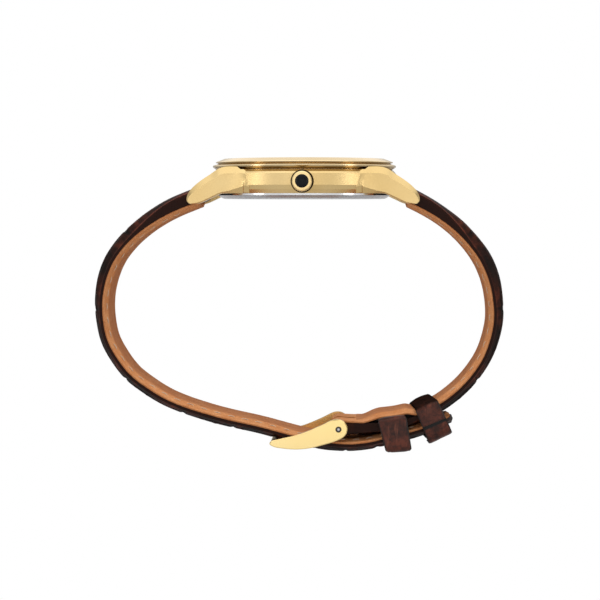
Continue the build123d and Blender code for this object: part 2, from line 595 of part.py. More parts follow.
def strap_end(bar, normal, side):
    # the leather folded round the spring bar beyond the first station
    ring = rod(STRAP_R, -WIDTH_LUG / 2, WIDTH_LUG / 2, *bar) - rod(BAR_HOLE_R, -20, 20, *bar)
    along_x, along_z = side * normal[1], -side * normal[0]      # away from the case
    angle = math.degrees(math.atan2(along_z, along_x))
    strap_side = Pos(bar[0] + along_x * 5.0, 0, bar[1] + along_z * 5.0) * Rot(0, -angle, 0)
    return ring - strap_side * Box(10.0, 40.0, 12.0)


def strap_layers(stations, normals, widths, lifts, bar, side):
    # leather, core and lining; lifts move the lining inwards
    line = (stations, normals, widths)
    tops = [thickness for _, _, thickness in stations]
    outer = strip(*line, [top - SKIN_T for top in tops], tops)
    outer = outer + strap_end(bar, normals[0], side)
    core = strip(*line, [LAYER_GAP] * len(tops), [top - SKIN_T - LAYER_GAP for top in tops])
    core = core - rod(BAR_HOLE_R, -20, 20, *bar)
    lining = strip(*line, [-LINING_T - lift for lift in lifts], [-lift for lift in lifts])
    return outer, core, lining


def tail_cutter():
    # what is cut away to narrow the long strap's tail to a rounded point
    tip_x, half = LONG[-1][0], 9.6
    start, back = tip_x - 7.6, tip_x - 9.0
    outline = [(back, -half), (start, -half)]
    for k in range(-5, 6):
        angle = math.radians(k * 15)
        outline.append((start + 7.9 * math.cos(angle) ** 0.8, half * math.sin(angle)))
    outline += [(start, half), (back, half)]
    return block(start, tip_x + 3, -12, 12, -52, -42) - prism_z(outline, -53, -41)


def long_strap():
    bar = (-BAR_X, BAR_Z)
    normals = outward_normals(LONG)
    stations = start_at_bar(LONG, normals[0], bar)
    layers = strap_layers(stations, normals, half_widths(LONG), [0.0] * len(LONG), bar, -1)
    tail = tail_cutter()
    tongue_slot = block(-0.30, 3.60, -1.1, 1.1, -54, -48)
    return [layer - tail - tongue_slot for layer in layers]


def lining_lift(i, x):
    # the lining lies over the fixed keeper's sewn-in end, far from the lugs
    if i < 10:
        return 0.0
    return max(0.0, min(MAX_LIFT, (x - 13.0) * 0.45, (23.6 - x) * 0.45))


def buckle_fold():
    # the leather folded round the buckle's bar, slotted for the tongue
    half = WIDTH_BUCKLE / 2 - 0.55
    outline = [(13.4, -47.80), (12.60, -47.72), (12.60, -46.98)]
    for k in range(13):
        angle = math.radians(90 + k * 15)
        outline.append((BUCKLE_X + 1.80 * math.cos(angle), BUCKLE_Z + 1.80 * math.sin(angle)))
    outline += [(9.4, -49.45), (11.2, -48.85), (13.4, -48.50)]
    fold = prism_y(outline, -half, half)
    fold = fold - rod(BAR_HOLE_R, -20, 20, BUCKLE_X, BUCKLE_Z)
    return fold - block(4.0, 9.9, -1.25, 1.25, -52, -44)


def short_strap():
    bar = (BAR_X, BAR_Z)
    first_normal = outward_normals(SHORT)[0]
    placed = start_at_bar(SHORT, first_normal, bar)
    # halve the spans near the fixed keeper, where the lining lifts
    stations = []
    for i, station in enumerate(placed):
        stations.append(station)
        if i in (14, 15, 16):
            stations.append(tuple((a + b) / 2 for a, b in zip(station, placed[i + 1])))
    normals = [first_normal] + outward_normals(stations)[1:]
    lifts = [lining_lift(i, station[0]) for i, station in enumerate(stations)]
    outer, core, lining = strap_layers(stations, normals, half_widths(stations), lifts, bar, 1)
    return outer + buckle_fold(), core, lining


for strap_name, strap in (("long", long_strap()), ("short", short_strap())):
    for layer_name, layer in zip(("outer", "core", "lining"), strap):
        save(f"strap_{strap_name}_{layer_name}", layer)

# -------------------------------------------------------------------- keepers
# fixed keeper: a band round both straps, its top sewn under the short lining;
# outlines are (x, z)
FIXED_OUTSIDE = [(15.8, -46.13), (21.6, -45.42), (22.5, -52.05), (17.15, -52.7)]
FIXED_INSIDE = [(14.0, -46.88), (23.5, -45.60), (24.0, -51.05), (15.0, -52.0)]
# free keeper: tilted, u runs along the strap and v outwards from its top
FREE_X, FREE_Z, FREE_TILT = 22.7, -43.5, math.radians(26.0)
FREE_LENGTH, FREE_DEPTH, FREE_WALL = 5.2, 8.25, 0.9


def free_outline(u0, u1, v0, v1):
    cos, sin = math.cos(FREE_TILT), math.sin(FREE_TILT)
    return [(FREE_X + u * cos + v * sin, FREE_Z + u * sin - v * cos)
            for u, v in ((u0, v0), (u1, v0), (u1, v1), (u0, v1))]


def keeper(outside, inside):
    return prism_y(outside, -KEEPER_OUT, KEEPER_OUT) - prism_y(inside, -KEEPER_IN, KEEPER_IN)


save("fixed_keeper", keeper(FIXED_OUTSIDE, FIXED_INSIDE))
save("free_keeper", keeper(
    free_outline(0, FREE_LENGTH, 0, FREE_DEPTH),
    free_outline(-1, FREE_LENGTH + 1, FREE_WALL, FREE_DEPTH - FREE_WALL)))

# --------------------------------------------------------------------- buckle
# outlines are (x, z)
ARM = [
    (-5.57, -50.35), (-3.77, -49.95), (-1.98, -49.55), (0.41, -48.8), (2.81, -47.8),
    (4.60, -46.95), (5.79, -46.35), (7.41, -46.1), (8.79, -46.85), (9.27, -48.1),
    (8.79, -49.4), (7.58, -50.3), (5.79, -51.0), (4.0, -51.5), (2.2, -52.0),
    (0.41, -52.3), (-1.38, -52.42), (-3.17, -52.35), (-4.96, -52.15), (-6.4, -51.8),
    (-7.07, -51.2), (-6.65, -50.65),
]
CROSSBAR = [
    (-7.0, -51.25), (-6.7, -50.85), (-5.9, -50.68), (-5.0, -50.78), (-4.55, -51.2),
    (-4.75, -51.85), (-5.4, -52.10), (-6.4, -51.85),
]
TONGUE = [
    (6.9, -47.0), (6.3, -48.25), (3.2, -48.45), (2.35, -48.75), (1.95, -49.45),
    (1.25, -51.45), (0.95, -51.68), (-0.25, -51.72), (-1.3, -51.60), (-7.05, -51.60),
    (-7.15, -51.85), (-6.85, -52.25), (0.6, -52.42), (1.5, -52.38), (2.0, -51.9),
    (2.75, -49.75), (3.05, -49.38), (3.4, -49.30), (6.3, -49.25), (7.3, -49.6),
    (8.1, -49.0), (8.4, -48.2), (8.1, -47.3),
]


def buckle_arm():
    # the arm on the crown side
    face = make_face(Spline(*ARM, periodic=True))
    arm = extrude(Plane.XZ.offset(ARM_IN) * face, amount=ARM_OUT - ARM_IN)
    outer = arm.faces().sort_by(Axis.Y)[0]
    # guards against the fillet failing on the spline edge
    try:
        arm = fillet(outer.edges(), 0.35)
    except Exception:
        arm = chamfer(outer.edges(), 0.2)
    arm = arm - rod(BUCKLE_TIP_R + 0.03, -20, 20, BUCKLE_X, BUCKLE_Z)
    # the small notch beside the pin, for the tool that presses it back
    notch = Pos(BUCKLE_X + 0.50, -ARM_OUT, BUCKLE_Z - 0.50) * Rot(0, 45, 0)
    return arm - notch * Box(0.55, 1.0, 0.30)


arm = buckle_arm()
crossbar = prism_y(CROSSBAR, -ARM_IN - 0.3, ARM_IN + 0.3)
crossbar = crossbar - block(-8, -4, -1.0, 1.0, -52.5, -51.55)     # tongue rest
save("buckle_frame", arm + mirror(arm, Plane.XZ) + crossbar)

# tongue: an eye on the bar, a straight shank inside the strap, a crank through
# the slot and a point resting on the crossbar
tongue = prism_y(TONGUE, -TONGUE_HALF, TONGUE_HALF)
tongue = tongue + rod(1.42, -TONGUE_HALF, TONGUE_HALF, BUCKLE_X, BUCKLE_Z)
save("buckle_tongue", tongue - rod(BAR_HOLE_R, -2, 2, BUCKLE_X, BUCKLE_Z))
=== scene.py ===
# A wristwatch: a gold case on an embossed leather strap, closed by a buckle.
# The dial looks up +Z from near the origin and the crown's axis lies along Y. The long strap
# leaves towards -X and the short one towards +X; they meet below the case. The camera looks
# from -Y, so "near" means towards -Y. Shapes are in millimetres, the stage and shader
# distances in metres.
import bpy
import json
import math
from bisect import bisect_right
from collections import namedtuple
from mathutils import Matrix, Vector, noise

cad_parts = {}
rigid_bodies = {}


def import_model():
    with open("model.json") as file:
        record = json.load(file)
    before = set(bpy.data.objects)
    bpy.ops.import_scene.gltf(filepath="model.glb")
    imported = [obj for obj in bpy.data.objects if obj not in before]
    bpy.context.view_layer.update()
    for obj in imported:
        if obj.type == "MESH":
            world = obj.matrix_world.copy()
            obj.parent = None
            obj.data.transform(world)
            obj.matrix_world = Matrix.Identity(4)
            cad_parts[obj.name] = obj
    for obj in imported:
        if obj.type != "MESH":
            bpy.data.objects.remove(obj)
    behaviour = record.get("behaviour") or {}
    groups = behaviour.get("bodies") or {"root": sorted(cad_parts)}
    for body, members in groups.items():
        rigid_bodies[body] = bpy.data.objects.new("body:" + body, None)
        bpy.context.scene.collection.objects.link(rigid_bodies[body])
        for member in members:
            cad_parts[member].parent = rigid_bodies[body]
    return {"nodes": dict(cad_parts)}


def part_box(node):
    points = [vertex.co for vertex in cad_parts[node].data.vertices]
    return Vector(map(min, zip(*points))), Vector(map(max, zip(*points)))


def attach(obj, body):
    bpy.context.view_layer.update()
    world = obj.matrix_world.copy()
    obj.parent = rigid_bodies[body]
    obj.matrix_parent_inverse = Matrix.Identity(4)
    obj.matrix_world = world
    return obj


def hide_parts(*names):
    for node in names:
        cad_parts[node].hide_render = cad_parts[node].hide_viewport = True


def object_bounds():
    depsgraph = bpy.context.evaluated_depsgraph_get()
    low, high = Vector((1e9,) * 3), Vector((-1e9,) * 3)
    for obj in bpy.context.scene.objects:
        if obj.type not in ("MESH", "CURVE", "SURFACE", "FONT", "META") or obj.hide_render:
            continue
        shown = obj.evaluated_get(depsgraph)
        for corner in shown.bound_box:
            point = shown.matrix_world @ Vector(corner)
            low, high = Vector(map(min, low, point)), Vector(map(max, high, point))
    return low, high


for old in list(bpy.data.objects):
    bpy.data.objects.remove(old, do_unlink=True)

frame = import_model()
cad_box = [[float(c) for c in p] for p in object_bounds()]
NODES = frame["nodes"]
MM = 0.001

# ------------------------------------------------------------------ shared sizes
CROWN_AXIS = (0.0, 3.54)           # x, z
BAR_AXIS = (7.37, -48.20)          # x, z of the buckle's bar
PIN_RADIUS = 0.52
WRAP_HALF_WIDTH = 8.95             # of the leather round the buckle's bar
TONGUE_GAP = 1.30                  # half the slot left for the tongue
LINING_CENTRE = 1.08               # lining's depth along its middle
LINING_BORDER = 0.42               # and at its stitched border
LINING_INSET = 1.75                # from the strap's edge to the stitches
OUTER_INSET = 1.45
STITCH_START = 5.0                 # along the strap
KEEPER_HALF_WIDTH = 10.4


# ------------------------------------------------------------------ small kit
def srgb(red, green, blue):
    """The linear colour of an sRGB one given in 0..255."""
    def linear(level):
        level /= 255.0
        return level / 12.92 if level <= 0.04045 else ((level + 0.055) / 1.055) ** 2.4
    return (linear(red), linear(green), linear(blue), 1.0)


def noise3(x, y, z):
    return noise.noise(Vector((x, y, z)))


def ease(value, start=0.0, span=1.0):
    """A smooth step from 0 at start to 1 at start + span."""
    share = min(1.0, max(0.0, (value - start) / span))
    return share * share * (3 - 2 * share)


def bell(value, centre, width):
    return math.exp(-((value - centre) / width) ** 2)


def make_mesh(name, verts, faces, material, body="root", attributes=None,
              smooth=True, sharp=None, replaces=()):
    """An object from vertices in millimetres; sharp is an edge angle in degrees."""
    mesh = bpy.data.meshes.new(name)
    mesh.from_pydata([Vector(v) * MM for v in verts], [], faces)
    mesh.update()
    if smooth:
        mesh.shade_smooth()
    if sharp:
        mesh.set_sharp_from_angle(angle=math.radians(sharp))
    for key, values in (attributes or {}).items():
        attribute = mesh.attributes.new(key, "FLOAT", "POINT")
        attribute.data.foreach_set("value", [float(v) for v in values])
    mesh.materials.append(material)
    obj = bpy.data.objects.new(name, mesh)
    bpy.context.scene.collection.objects.link(obj)
    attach(obj, body)
    if replaces:
        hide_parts(*replaces)


def skin(faces, first, rings, around, flip_sides=False, flip_caps=False):
    """Join rings of vertices, starting at index first, into a tube capped at both ends."""
    for i in range(rings - 1):
        for j in range(around):
            a = first + i * around + j
            b = first + i * around + (j + 1) % around
            if flip_sides:
                faces.append((a, a + around, b + around, b))
            else:
                faces.append((a, b, b + around, a + around))
    last = first + (rings - 1) * around
    start_cap, end_cap = range(first, first + around), range(last, last + around)
    if flip_caps:
        faces += [tuple(reversed(start_cap)), tuple(end_cap)]
    else:
        faces += [tuple(start_cap), tuple(reversed(end_cap))]


class Tree:
    """Writes a shader node tree compactly. Methods return output sockets."""

    def __init__(self, node_tree):
        self.tree = node_tree
        self.coord = self.new("ShaderNodeTexCoord")

    def new(self, kind):
        return self.tree.nodes.new(kind)

    def feed(self, value, socket):
        """Link a socket, or set a plain value."""
        if isinstance(value, bpy.types.NodeSocket):
            self.tree.links.new(value, socket)
        else:
            socket.default_value = value

    def texture(self, kind, vector=None, **values):
        node = self.new(kind)
        self.feed(vector or self.coord.outputs["Object"], node.inputs["Vector"])
        for key, value in values.items():
            node.inputs[key].default_value = value
        return node.outputs

    def mapping(self, scale, rotation=(0, 0, 0)):
        return self.texture("ShaderNodeMapping", Scale=scale, Rotation=rotation)["Vector"]

    def noise(self, scale, detail=3.0, rough=0.55, vector=None):
        return self.texture("ShaderNodeTexNoise", vector, Scale=scale, Detail=detail,
                            Roughness=rough)["Fac"]

    def ramp(self, factor, *stops):
        node = self.new("ShaderNodeValToRGB")
        self.feed(factor, node.inputs["Fac"])
        elements = node.color_ramp.elements
        while len(elements) < len(stops):
            elements.new(0.5)
        for element, (position, colour) in zip(elements, stops):
            element.position = position
            element.color = colour
        return node.outputs["Color"]

    def grey(self, factor, *stops):
        return self.ramp(factor, *[(p, (v, v, v, 1)) for p, v in stops])

    def rise(self, factor, start, end, top=1.0):
        """0 below start, top above end."""
        return self.grey(factor, (start, 0.0), (end, top))

    def fall(self, factor, start, end):
        """1 below start, 0 above end."""
        return self.grey(factor, (start, 1.0), (end, 0.0))

    def math(self, operation, first, second=None, clamp=False):
        node = self.new("ShaderNodeMath")
        node.operation = operation
        node.use_clamp = clamp
        self.feed(first, node.inputs[0])
        if second is not None:
            self.feed(second, node.inputs[1])
        return node.outputs[0]

    def add(self, first, second):
        return self.math("ADD", first, second)

    def mul(self, first, second):
        return self.math("MULTIPLY", first, second)

    def scaled(self, value, gain, offset):
        """value * gain + offset"""
        return self.add(self.mul(value, gain), offset)

    def length(self, first, second):
        return self.math("SQRT", self.add(self.mul(first, first), self.mul(second, second)))

    def mix(self, factor, first, second):
        node = self.new("ShaderNodeMix")
        node.data_type = "RGBA"
        # sockets 6 and 7 are the two colours
        for index, value in ((0, factor), (6, first), (7, second)):
            self.feed(value, node.inputs[index])
        return node.outputs[2]

    def mottle(self, factor, first, second, start=0.35, end=0.65):
        """Two colours, parted where factor passes from start to end."""
        return self.mix(self.rise(factor, start, end), first, second)

    def map_range(self, value, from_min, from_max, to_min=0.0, to_max=1.0):
        node = self.new("ShaderNodeMapRange")
        values = (value, from_min, from_max, to_min, to_max)
        for key, given in zip(("Value", "From Min", "From Max", "To Min", "To Max"), values):
            self.feed(given, node.inputs[key])
        return node.outputs["Result"]

    def attribute(self, name):
        node = self.new("ShaderNodeAttribute")
        node.attribute_name = name
        return node.outputs["Fac"]

    def separate(self, socket="Object"):
        node = self.new("ShaderNodeSeparateXYZ")
        self.feed(self.coord.outputs[socket], node.inputs[0])
        return node.outputs

    def combine(self, *values):
        node = self.new("ShaderNodeCombineXYZ")
        for value, socket in zip(values, node.inputs):
            self.feed(value, socket)
        return node.outputs[0]

    def facing_down(self):
        return self.mul(self.separate("Normal")["Z"], -1.0)

    def bump(self, height, strength, distance, normal=None):
        node = self.new("ShaderNodeBump")
        self.feed(height, node.inputs["Height"])
        node.inputs["Strength"].default_value = strength
        node.inputs["Distance"].default_value = distance
        if normal is not None:
            self.feed(normal, node.inputs["Normal"])
        return node.outputs["Normal"]

    def shader(self, kind, **values):
        node = self.new(kind)
        for key, value in values.items():
            self.feed(value, node.inputs[key])
        return node.outputs[0]

    def mix_shaders(self, factor, first, second):
        node = self.new("ShaderNodeMixShader")
        for value, socket in zip((factor, first, second), node.inputs):
            self.feed(value, socket)
        return node.outputs[0]


class Material(Tree):
    def __init__(self, name):
        self.material = bpy.data.materials.new(name)
        self.material.use_nodes = True
        super().__init__(self.material.node_tree)
        self.bsdf = self.tree.nodes["Principled BSDF"]

    def finish(self, **values):
        """Set the Principled inputs (underscores for spaces) and return the material."""
        for key, value in values.items():
            self.feed(value, self.bsdf.inputs[key.replace("_", " ")])
        return self.material


# ------------------------------------------------------------------ metals
# colour of the painted shadows in the gaps round the crown and the buckle's bar
GAP_SHADE = (0.03, 0.018, 0.008, 1)


def around_axis(mat, axis):
    """Position, height above an axis along Y, and distance from that axis."""
    position = mat.separate()
    aside = mat.math("SUBTRACT", position["X"], axis[0] * MM)
    above = mat.math("SUBTRACT", position["Z"], axis[1] * MM)
    return position, above, mat.length(aside, above)


def gap_ring(mat, axis, stops):
    """A mask by distance from an axis. stops: distance in mm, darkness."""
    per_metre = 200.0              # brings distances into the ramp's 0..1
    position, above, radius = around_axis(mat, axis)
    gap = mat.grey(mat.mul(radius, per_metre), *[(d * MM * per_metre, v) for d, v in stops])
    return position, above, gap


# mixes in painted shadow where the gap mask is set; the roughness rises with it
def add_gap_shade(mat, gap, colour, rough):
    return mat.mix(gap, colour, GAP_SHADE), mat.add(rough, mat.mul(gap, 0.4))


def gold_base(name, light, dark):
    mat = Material(name)
    clouds = mat.noise(scale=90.0, detail=2.0)
    fine = mat.noise(scale=9000.0)
    return mat, fine, mat.mottle(clouds, light, dark)


def case_gold():
    """Upright faces are brushed lengthways, the sloping bevels are polished."""
    dark = (0.69, 0.49, 0.21, 1)
    polished_rough, brushed_rough = 0.10, 0.30
    mat, fine, colour = gold_base("gold", (0.765, 0.57, 0.275, 1), dark)
    tilt = mat.math("ABSOLUTE", mat.separate("Normal")["Z"])
    brushed = mat.fall(tilt, start=0.20, end=0.32)
    grain = mat.noise(scale=1.0, detail=4.0, rough=0.6,
                      vector=mat.mapping(scale=(500.0, 500.0, 26000.0)))
    rough = mat.scaled(brushed, gain=brushed_rough - polished_rough, offset=polished_rough)
    brushing = mat.mul(grain, brushed)
    rough = mat.add(rough, mat.mul(brushing, 0.14))
    rough = mat.add(rough, mat.mul(fine, 0.03))
    normal = mat.bump(mat.mul(grain, brushed), strength=0.16, distance=0.00002)
    normal = mat.bump(fine, strength=0.02, distance=0.00001, normal=normal)
    streaks = mat.grey(grain, (0.35, 0.35), (0.65, 0.0))
    colour = mat.mix(mat.mul(brushed, streaks), colour, dark)
    # the lower bevel is satin, and its downward faces are painted a little darker as shade
    lower = mat.rise(mat.facing_down(), start=0.24, end=0.42)
    colour = mat.mix(mat.mul(lower, 0.10), colour, (0.50, 0.335, 0.115, 1))
    rough = mat.add(rough, mat.mul(lower, 0.16))
    # painted shadow in the crown's recess, round its axis, only where the case is well
    # towards -Y
    position, _, gap = gap_ring(mat, CROWN_AXIS, [(2.31, 1.0), (2.42, 0.0)])
    near = mat.rise(mat.mul(position["Y"], -40.0), start=0.30, end=0.34)
    colour, rough = add_gap_shade(mat, mat.mul(gap, near), colour, rough)
    return mat.finish(Base_Color=colour, Metallic=1.0, Roughness=rough, Normal=normal)


def polished_gold(name, light, dark, rough, under=0.0, gap_axis=None, gap_stops=(),
                  open_below=False):
    """under darkens downward faces; a painted shadow may ring an axis along Y, in the gap
    round it.
    """
    mat, fine, colour = gold_base(name, light, dark)
    rough = mat.scaled(fine, gain=0.05, offset=rough)
    normal = mat.bump(fine, strength=0.03, distance=0.00001)
    if under:
        # faces that look down into a step are shaded by it
        lower = mat.rise(mat.facing_down(), start=0.10, end=0.45)
        colour = mat.mix(mat.mul(lower, under), colour, (0.24, 0.17, 0.085, 1))
    if gap_axis:
        # only faces towards -Y take the painted shadow
        _, above, gap = gap_ring(mat, gap_axis, gap_stops)
        facing = mat.mul(mat.separate("Normal")["Y"], -1.0)
        gap = mat.mul(gap, mat.rise(facing, start=0.20, end=0.35))
        if open_below:
            # light reaches into the gap from below
            shade = mat.scaled(above, gain=200.0, offset=0.5)
            gap = mat.mul(gap, mat.grey(shade, (0.18, 0.25), (0.36, 1.0)))
        colour, rough = add_gap_shade(mat, gap, colour, rough)
    return mat.finish(Base_Color=colour, Metallic=1.0, Roughness=rough, Normal=normal)


def steel(name, base=(0.70, 0.70, 0.715, 1), rough=0.16, circular=False, shaded_below=False):
    """Grained metal; circular grain runs in rings about the Z axis."""
    mat = Material(name)
    if circular:
        position = mat.separate()
        radius = mat.length(position["X"], position["Y"])
        grain = mat.noise(scale=1.0, detail=2.0, rough=0.5,
                          vector=mat.combine(mat.mul(radius, 30000.0)))
    else:
        grain = mat.noise(scale=1.0, rough=0.5,
                          vector=mat.mapping(scale=(9000.0, 900.0, 9000.0)))
    darker = tuple(c * 0.86 for c in base[:3]) + (1,)
    colour = mat.mottle(grain, base, darker, start=0.3, end=0.7)
    metallic = 1.0
    if shaded_below:
        # painted shade: downward faces are made darker and less metallic
        lower = mat.rise(mat.facing_down(), start=0.12, end=0.55)
        colour = mat.mix(mat.mul(lower, 0.80), colour, (0.34, 0.34, 0.35, 1))
        metallic = mat.math("SUBTRACT", 1.0, mat.mul(lower, 0.62))
    return mat.finish(Base_Color=colour, Metallic=metallic,
                      Roughness=mat.scaled(grain, gain=0.14, offset=rough),
                      Normal=mat.bump(grain, strength=0.08, distance=0.00001))


def pin_steel():
    """A turned steel pin: a bright dimple, and a painted shadow ring at its edge where it
    sits in the frame.
    """
    mat = Material("steel_bar_pin")
    _, _, radius = around_axis(mat, BAR_AXIS)
    fine = mat.noise(scale=6000.0)
    ragged = mat.mul(mat.math("SUBTRACT", fine, 0.5), 0.25)
    share = mat.add(mat.math("DIVIDE", radius, PIN_RADIUS * MM), ragged)
    colour = mat.ramp(share, (0.0, (0.62, 0.62, 0.63, 1)), (0.42, (0.45, 0.45, 0.46, 1)),
                      (0.60, (0.10, 0.095, 0.085, 1)), (1.0, (0.03, 0.027, 0.022, 1)))
    return mat.finish(Base_Color=colour, Metallic=0.9,
                      Roughness=mat.scaled(fine, gain=0.15, offset=0.22),
                      Normal=mat.bump(fine, strength=0.05, distance=0.00001))


GOLD = case_gold()
GOLD_POLISHED = polished_gold("gold_polished", light=(0.60, 0.425, 0.185, 1),
                              dark=(0.52, 0.36, 0.145, 1), rough=0.24)
GOLD_BEZEL = polished_gold("gold_bezel", light=(0.92, 0.72, 0.42, 1),
                           dark=(0.87, 0.66, 0.36, 1), rough=0.19, under=0.85)
# the crown's outer rim is painted dark as shadow in its recess, less so below
GOLD_CROWN = polished_gold("gold_crown", light=(0.97, 0.74, 0.38, 1),
                           dark=(0.93, 0.68, 0.32, 1), rough=0.13, gap_axis=CROWN_AXIS,
                           gap_stops=[(1.42, 0.0), (2.00, 0.0), (2.06, 1.0)],
                           open_below=True)
# a painted shadow rings the bar's pin where it enters the frame
GOLD_BUCKLE = polished_gold("gold_buckle", light=(0.98, 0.755, 0.35, 1),
                            dark=(0.95, 0.72, 0.315, 1), rough=0.22, gap_axis=BAR_AXIS,
                            gap_stops=[(0.58, 1.0), (0.68, 0.0)])
STEEL = steel("steel")
STEEL_PIN = pin_steel()
STEEL_BACK = steel("steel_case_back", base=(0.76, 0.76, 0.775, 1), rough=0.10,
                   circular=True, shaded_below=True)
BRASS = steel("brass_parts", base=(0.78, 0.60, 0.27, 1), rough=0.22, circular=True)
COPPER = steel("copper_wire", base=(0.62, 0.26, 0.12, 1), rough=0.30)


# ------------------------------------------------------------------ dial, glass, plastics
def mottled(name, first, second, scale, rough, specular=0.5, coat=0.0):
    mat = Material(name)
    cloud = mat.noise(scale=scale, detail=4.0)
    return mat.finish(Base_Color=mat.mottle(cloud, first, second),
                      Roughness=mat.scaled(cloud, gain=0.12, offset=rough - 0.06),
                      Specular_IOR_Level=specular, Coat_Weight=coat, Coat_Roughness=0.08,
                      Normal=mat.bump(cloud, strength=0.05, distance=0.00002))


def sunray_dial():
    """Streaks run out from the centre."""
    mat = Material("dial_sunray")
    position = mat.separate()
    angle = mat.math("ARCTAN2", position["Y"], position["X"])
    circle = mat.combine(mat.math("COSINE", angle), mat.math("SINE", angle))
    rays = mat.noise(scale=90.0, detail=5.0, rough=0.7, vector=circle)
    colour = mat.mottle(rays, srgb(196, 188, 170), srgb(172, 163, 143), start=0.3, end=0.7)
    return mat.finish(Base_Color=colour, Metallic=0.25,
                      Roughness=mat.scaled(rays, gain=0.18, offset=0.30),
                      Normal=mat.bump(rays, strength=0.12, distance=0.00002))


def crystal_glass():
    mat = Material("crystal_glass")
    cloud = mat.noise(scale=800.0, detail=2.0)
    return mat.finish(Base_Color=(0.97, 0.985, 0.98, 1), Roughness=mat.mul(cloud, 0.02),
                      IOR=1.5, Transmission_Weight=1.0,
                      Normal=mat.bump(cloud, strength=0.01, distance=0.00001))


CABOCHON = mottled("cabochon_black", (0.006, 0.006, 0.007, 1), (0.010, 0.010, 0.012, 1),
                   scale=900.0, rough=0.20, specular=0.07, coat=0.03)
RUBBER = mottled("gasket_rubber", (0.02, 0.02, 0.02, 1), (0.035, 0.035, 0.035, 1),
                 scale=5000.0, rough=0.7)
RING_PLASTIC = mottled("movement_ring_plastic", (0.75, 0.75, 0.72, 1),
                       (0.68, 0.68, 0.66, 1), scale=3000.0, rough=0.55)
BOARD = mottled("circuit_board_green", (0.01, 0.07, 0.035, 1), (0.02, 0.11, 0.05, 1),
                scale=2500.0, rough=0.45)
DIAL_RING = mottled("dial_ring_satin", srgb(200, 194, 180), srgb(188, 181, 166),
                    scale=4000.0, rough=0.35)
DIAL = sunray_dial()
GLASS = crystal_glass()


# ------------------------------------------------------------------ leathers and threads
def dark_leather():
    mat = Material("leather_dark_embossed")
    groove, ridge, side = (mat.attribute(name) for name in ("groove", "ridge", "side"))
    cloud = mat.noise(scale=260.0, detail=4.0, rough=0.6)
    blotch = mat.noise(scale=1100.0, detail=4.0, rough=0.6)
    black, brown, red = srgb(17, 12, 9), srgb(38, 19, 12), srgb(96, 44, 29)
    side_brown, groove_shade = srgb(38, 18, 12), srgb(9, 9, 8)
    colour = mat.mottle(cloud, black, brown, start=0.44, end=0.70)
    sides = mat.mul(side, mat.grey(blotch, (0.30, 0.65), (0.60, 1.0)))
    colour = mat.mix(sides, colour, side_brown)
    warm = mat.mul(ridge, mat.grey(blotch, (0.30, 0.35), (0.60, 1.0)))
    colour = mat.mix(mat.mul(warm, 0.95), colour, red)
    # the grooves are painted darker, as shade in the creases
    colour = mat.mix(mat.mul(groove, 0.9), colour, groove_shade)
    pores = mat.texture("ShaderNodeTexVoronoi", Scale=2600.0)["Distance"]
    fine = mat.noise(scale=7000.0)
    rough = mat.scaled(mat.add(blotch, groove), gain=0.20, offset=0.30)
    normal = mat.bump(pores, strength=0.16, distance=0.00006)
    normal = mat.bump(fine, strength=0.12, distance=0.00003, normal=normal)
    return mat.finish(Base_Color=colour, Roughness=rough, Specular_IOR_Level=0.07,
                      Normal=normal)


def tan_leather():
    mat = Material("leather_tan_nubuck")
    edge = mat.attribute("edge")
    cloud = mat.noise(scale=350.0, detail=4.0, rough=0.6)
    grain = mat.noise(scale=3800.0, detail=5.0, rough=0.7)
    speck = mat.noise(scale=9000.0, rough=0.7)
    brown, pale, edge_and_shade_brown = srgb(160, 98, 56), srgb(236, 182, 138), srgb(128, 70, 38)
    colour = mat.mottle(cloud, srgb(212, 150, 100), srgb(196, 128, 78))
    colour = mat.mix(mat.rise(grain, start=0.42, end=0.68, top=0.65), colour, brown)
    colour = mat.mix(mat.rise(speck, start=0.52, end=0.75, top=0.55), colour, pale)
    # edge: the lining's darker cut edge, and painted shade over its middle away from the
    # stitched border
    colour = mat.mix(mat.mul(edge, 0.80), colour, edge_and_shade_brown)
    normal = mat.bump(grain, strength=0.45, distance=0.00009)
    normal = mat.bump(speck, strength=0.30, distance=0.00005, normal=normal)
    return mat.finish(Base_Color=colour, Roughness=0.9, Specular_IOR_Level=0.08,
                      Normal=normal)


def keeper_leather():
    mat = Material("leather_keeper_glossy")
    edge, band = mat.attribute("edge"), mat.attribute("band")
    cloud = mat.noise(scale=330.0, detail=5.0, rough=0.65)
    blotch = mat.noise(scale=1500.0, detail=5.0, rough=0.7)
    slanted = mat.mapping(scale=(900.0, 900.0, 160.0), rotation=(0, math.radians(-26), 0))
    streak = mat.noise(scale=1.0, rough=0.6, vector=slanted)
    brown, streak_red = srgb(30, 15, 11), srgb(124, 68, 50)
    shade_black, edge_black = srgb(20, 19, 17), srgb(13, 12, 10)
    colour = mat.mottle(cloud, srgb(40, 18, 12), srgb(92, 42, 27), start=0.36, end=0.64)
    colour = mat.mix(mat.rise(blotch, start=0.45, end=0.70, top=0.80), colour, brown)
    colour = mat.mix(mat.rise(streak, start=0.56, end=0.72, top=0.55), colour, streak_red)
    # band is painted shade: darker on the free keeper's top face and the inner faces, a
    # little on the lap
    colour = mat.mix(mat.mul(band, 0.9), colour, shade_black)
    colour = mat.mix(edge, colour, edge_black)
    fine = mat.noise(scale=6000.0, detail=4.0)
    rough = mat.scaled(blotch, gain=0.30, offset=0.22)
    normal = mat.bump(cloud, strength=0.30, distance=0.00025)
    normal = mat.bump(blotch, strength=0.25, distance=0.00010, normal=normal)
    normal = mat.bump(fine, strength=0.10, distance=0.00003, normal=normal)
    specular = mat.math("SUBTRACT", 0.26, mat.mul(band, 0.32), clamp=True)
    return mat.finish(Base_Color=colour, Roughness=rough, Normal=normal,
                      Specular_IOR_Level=specular)


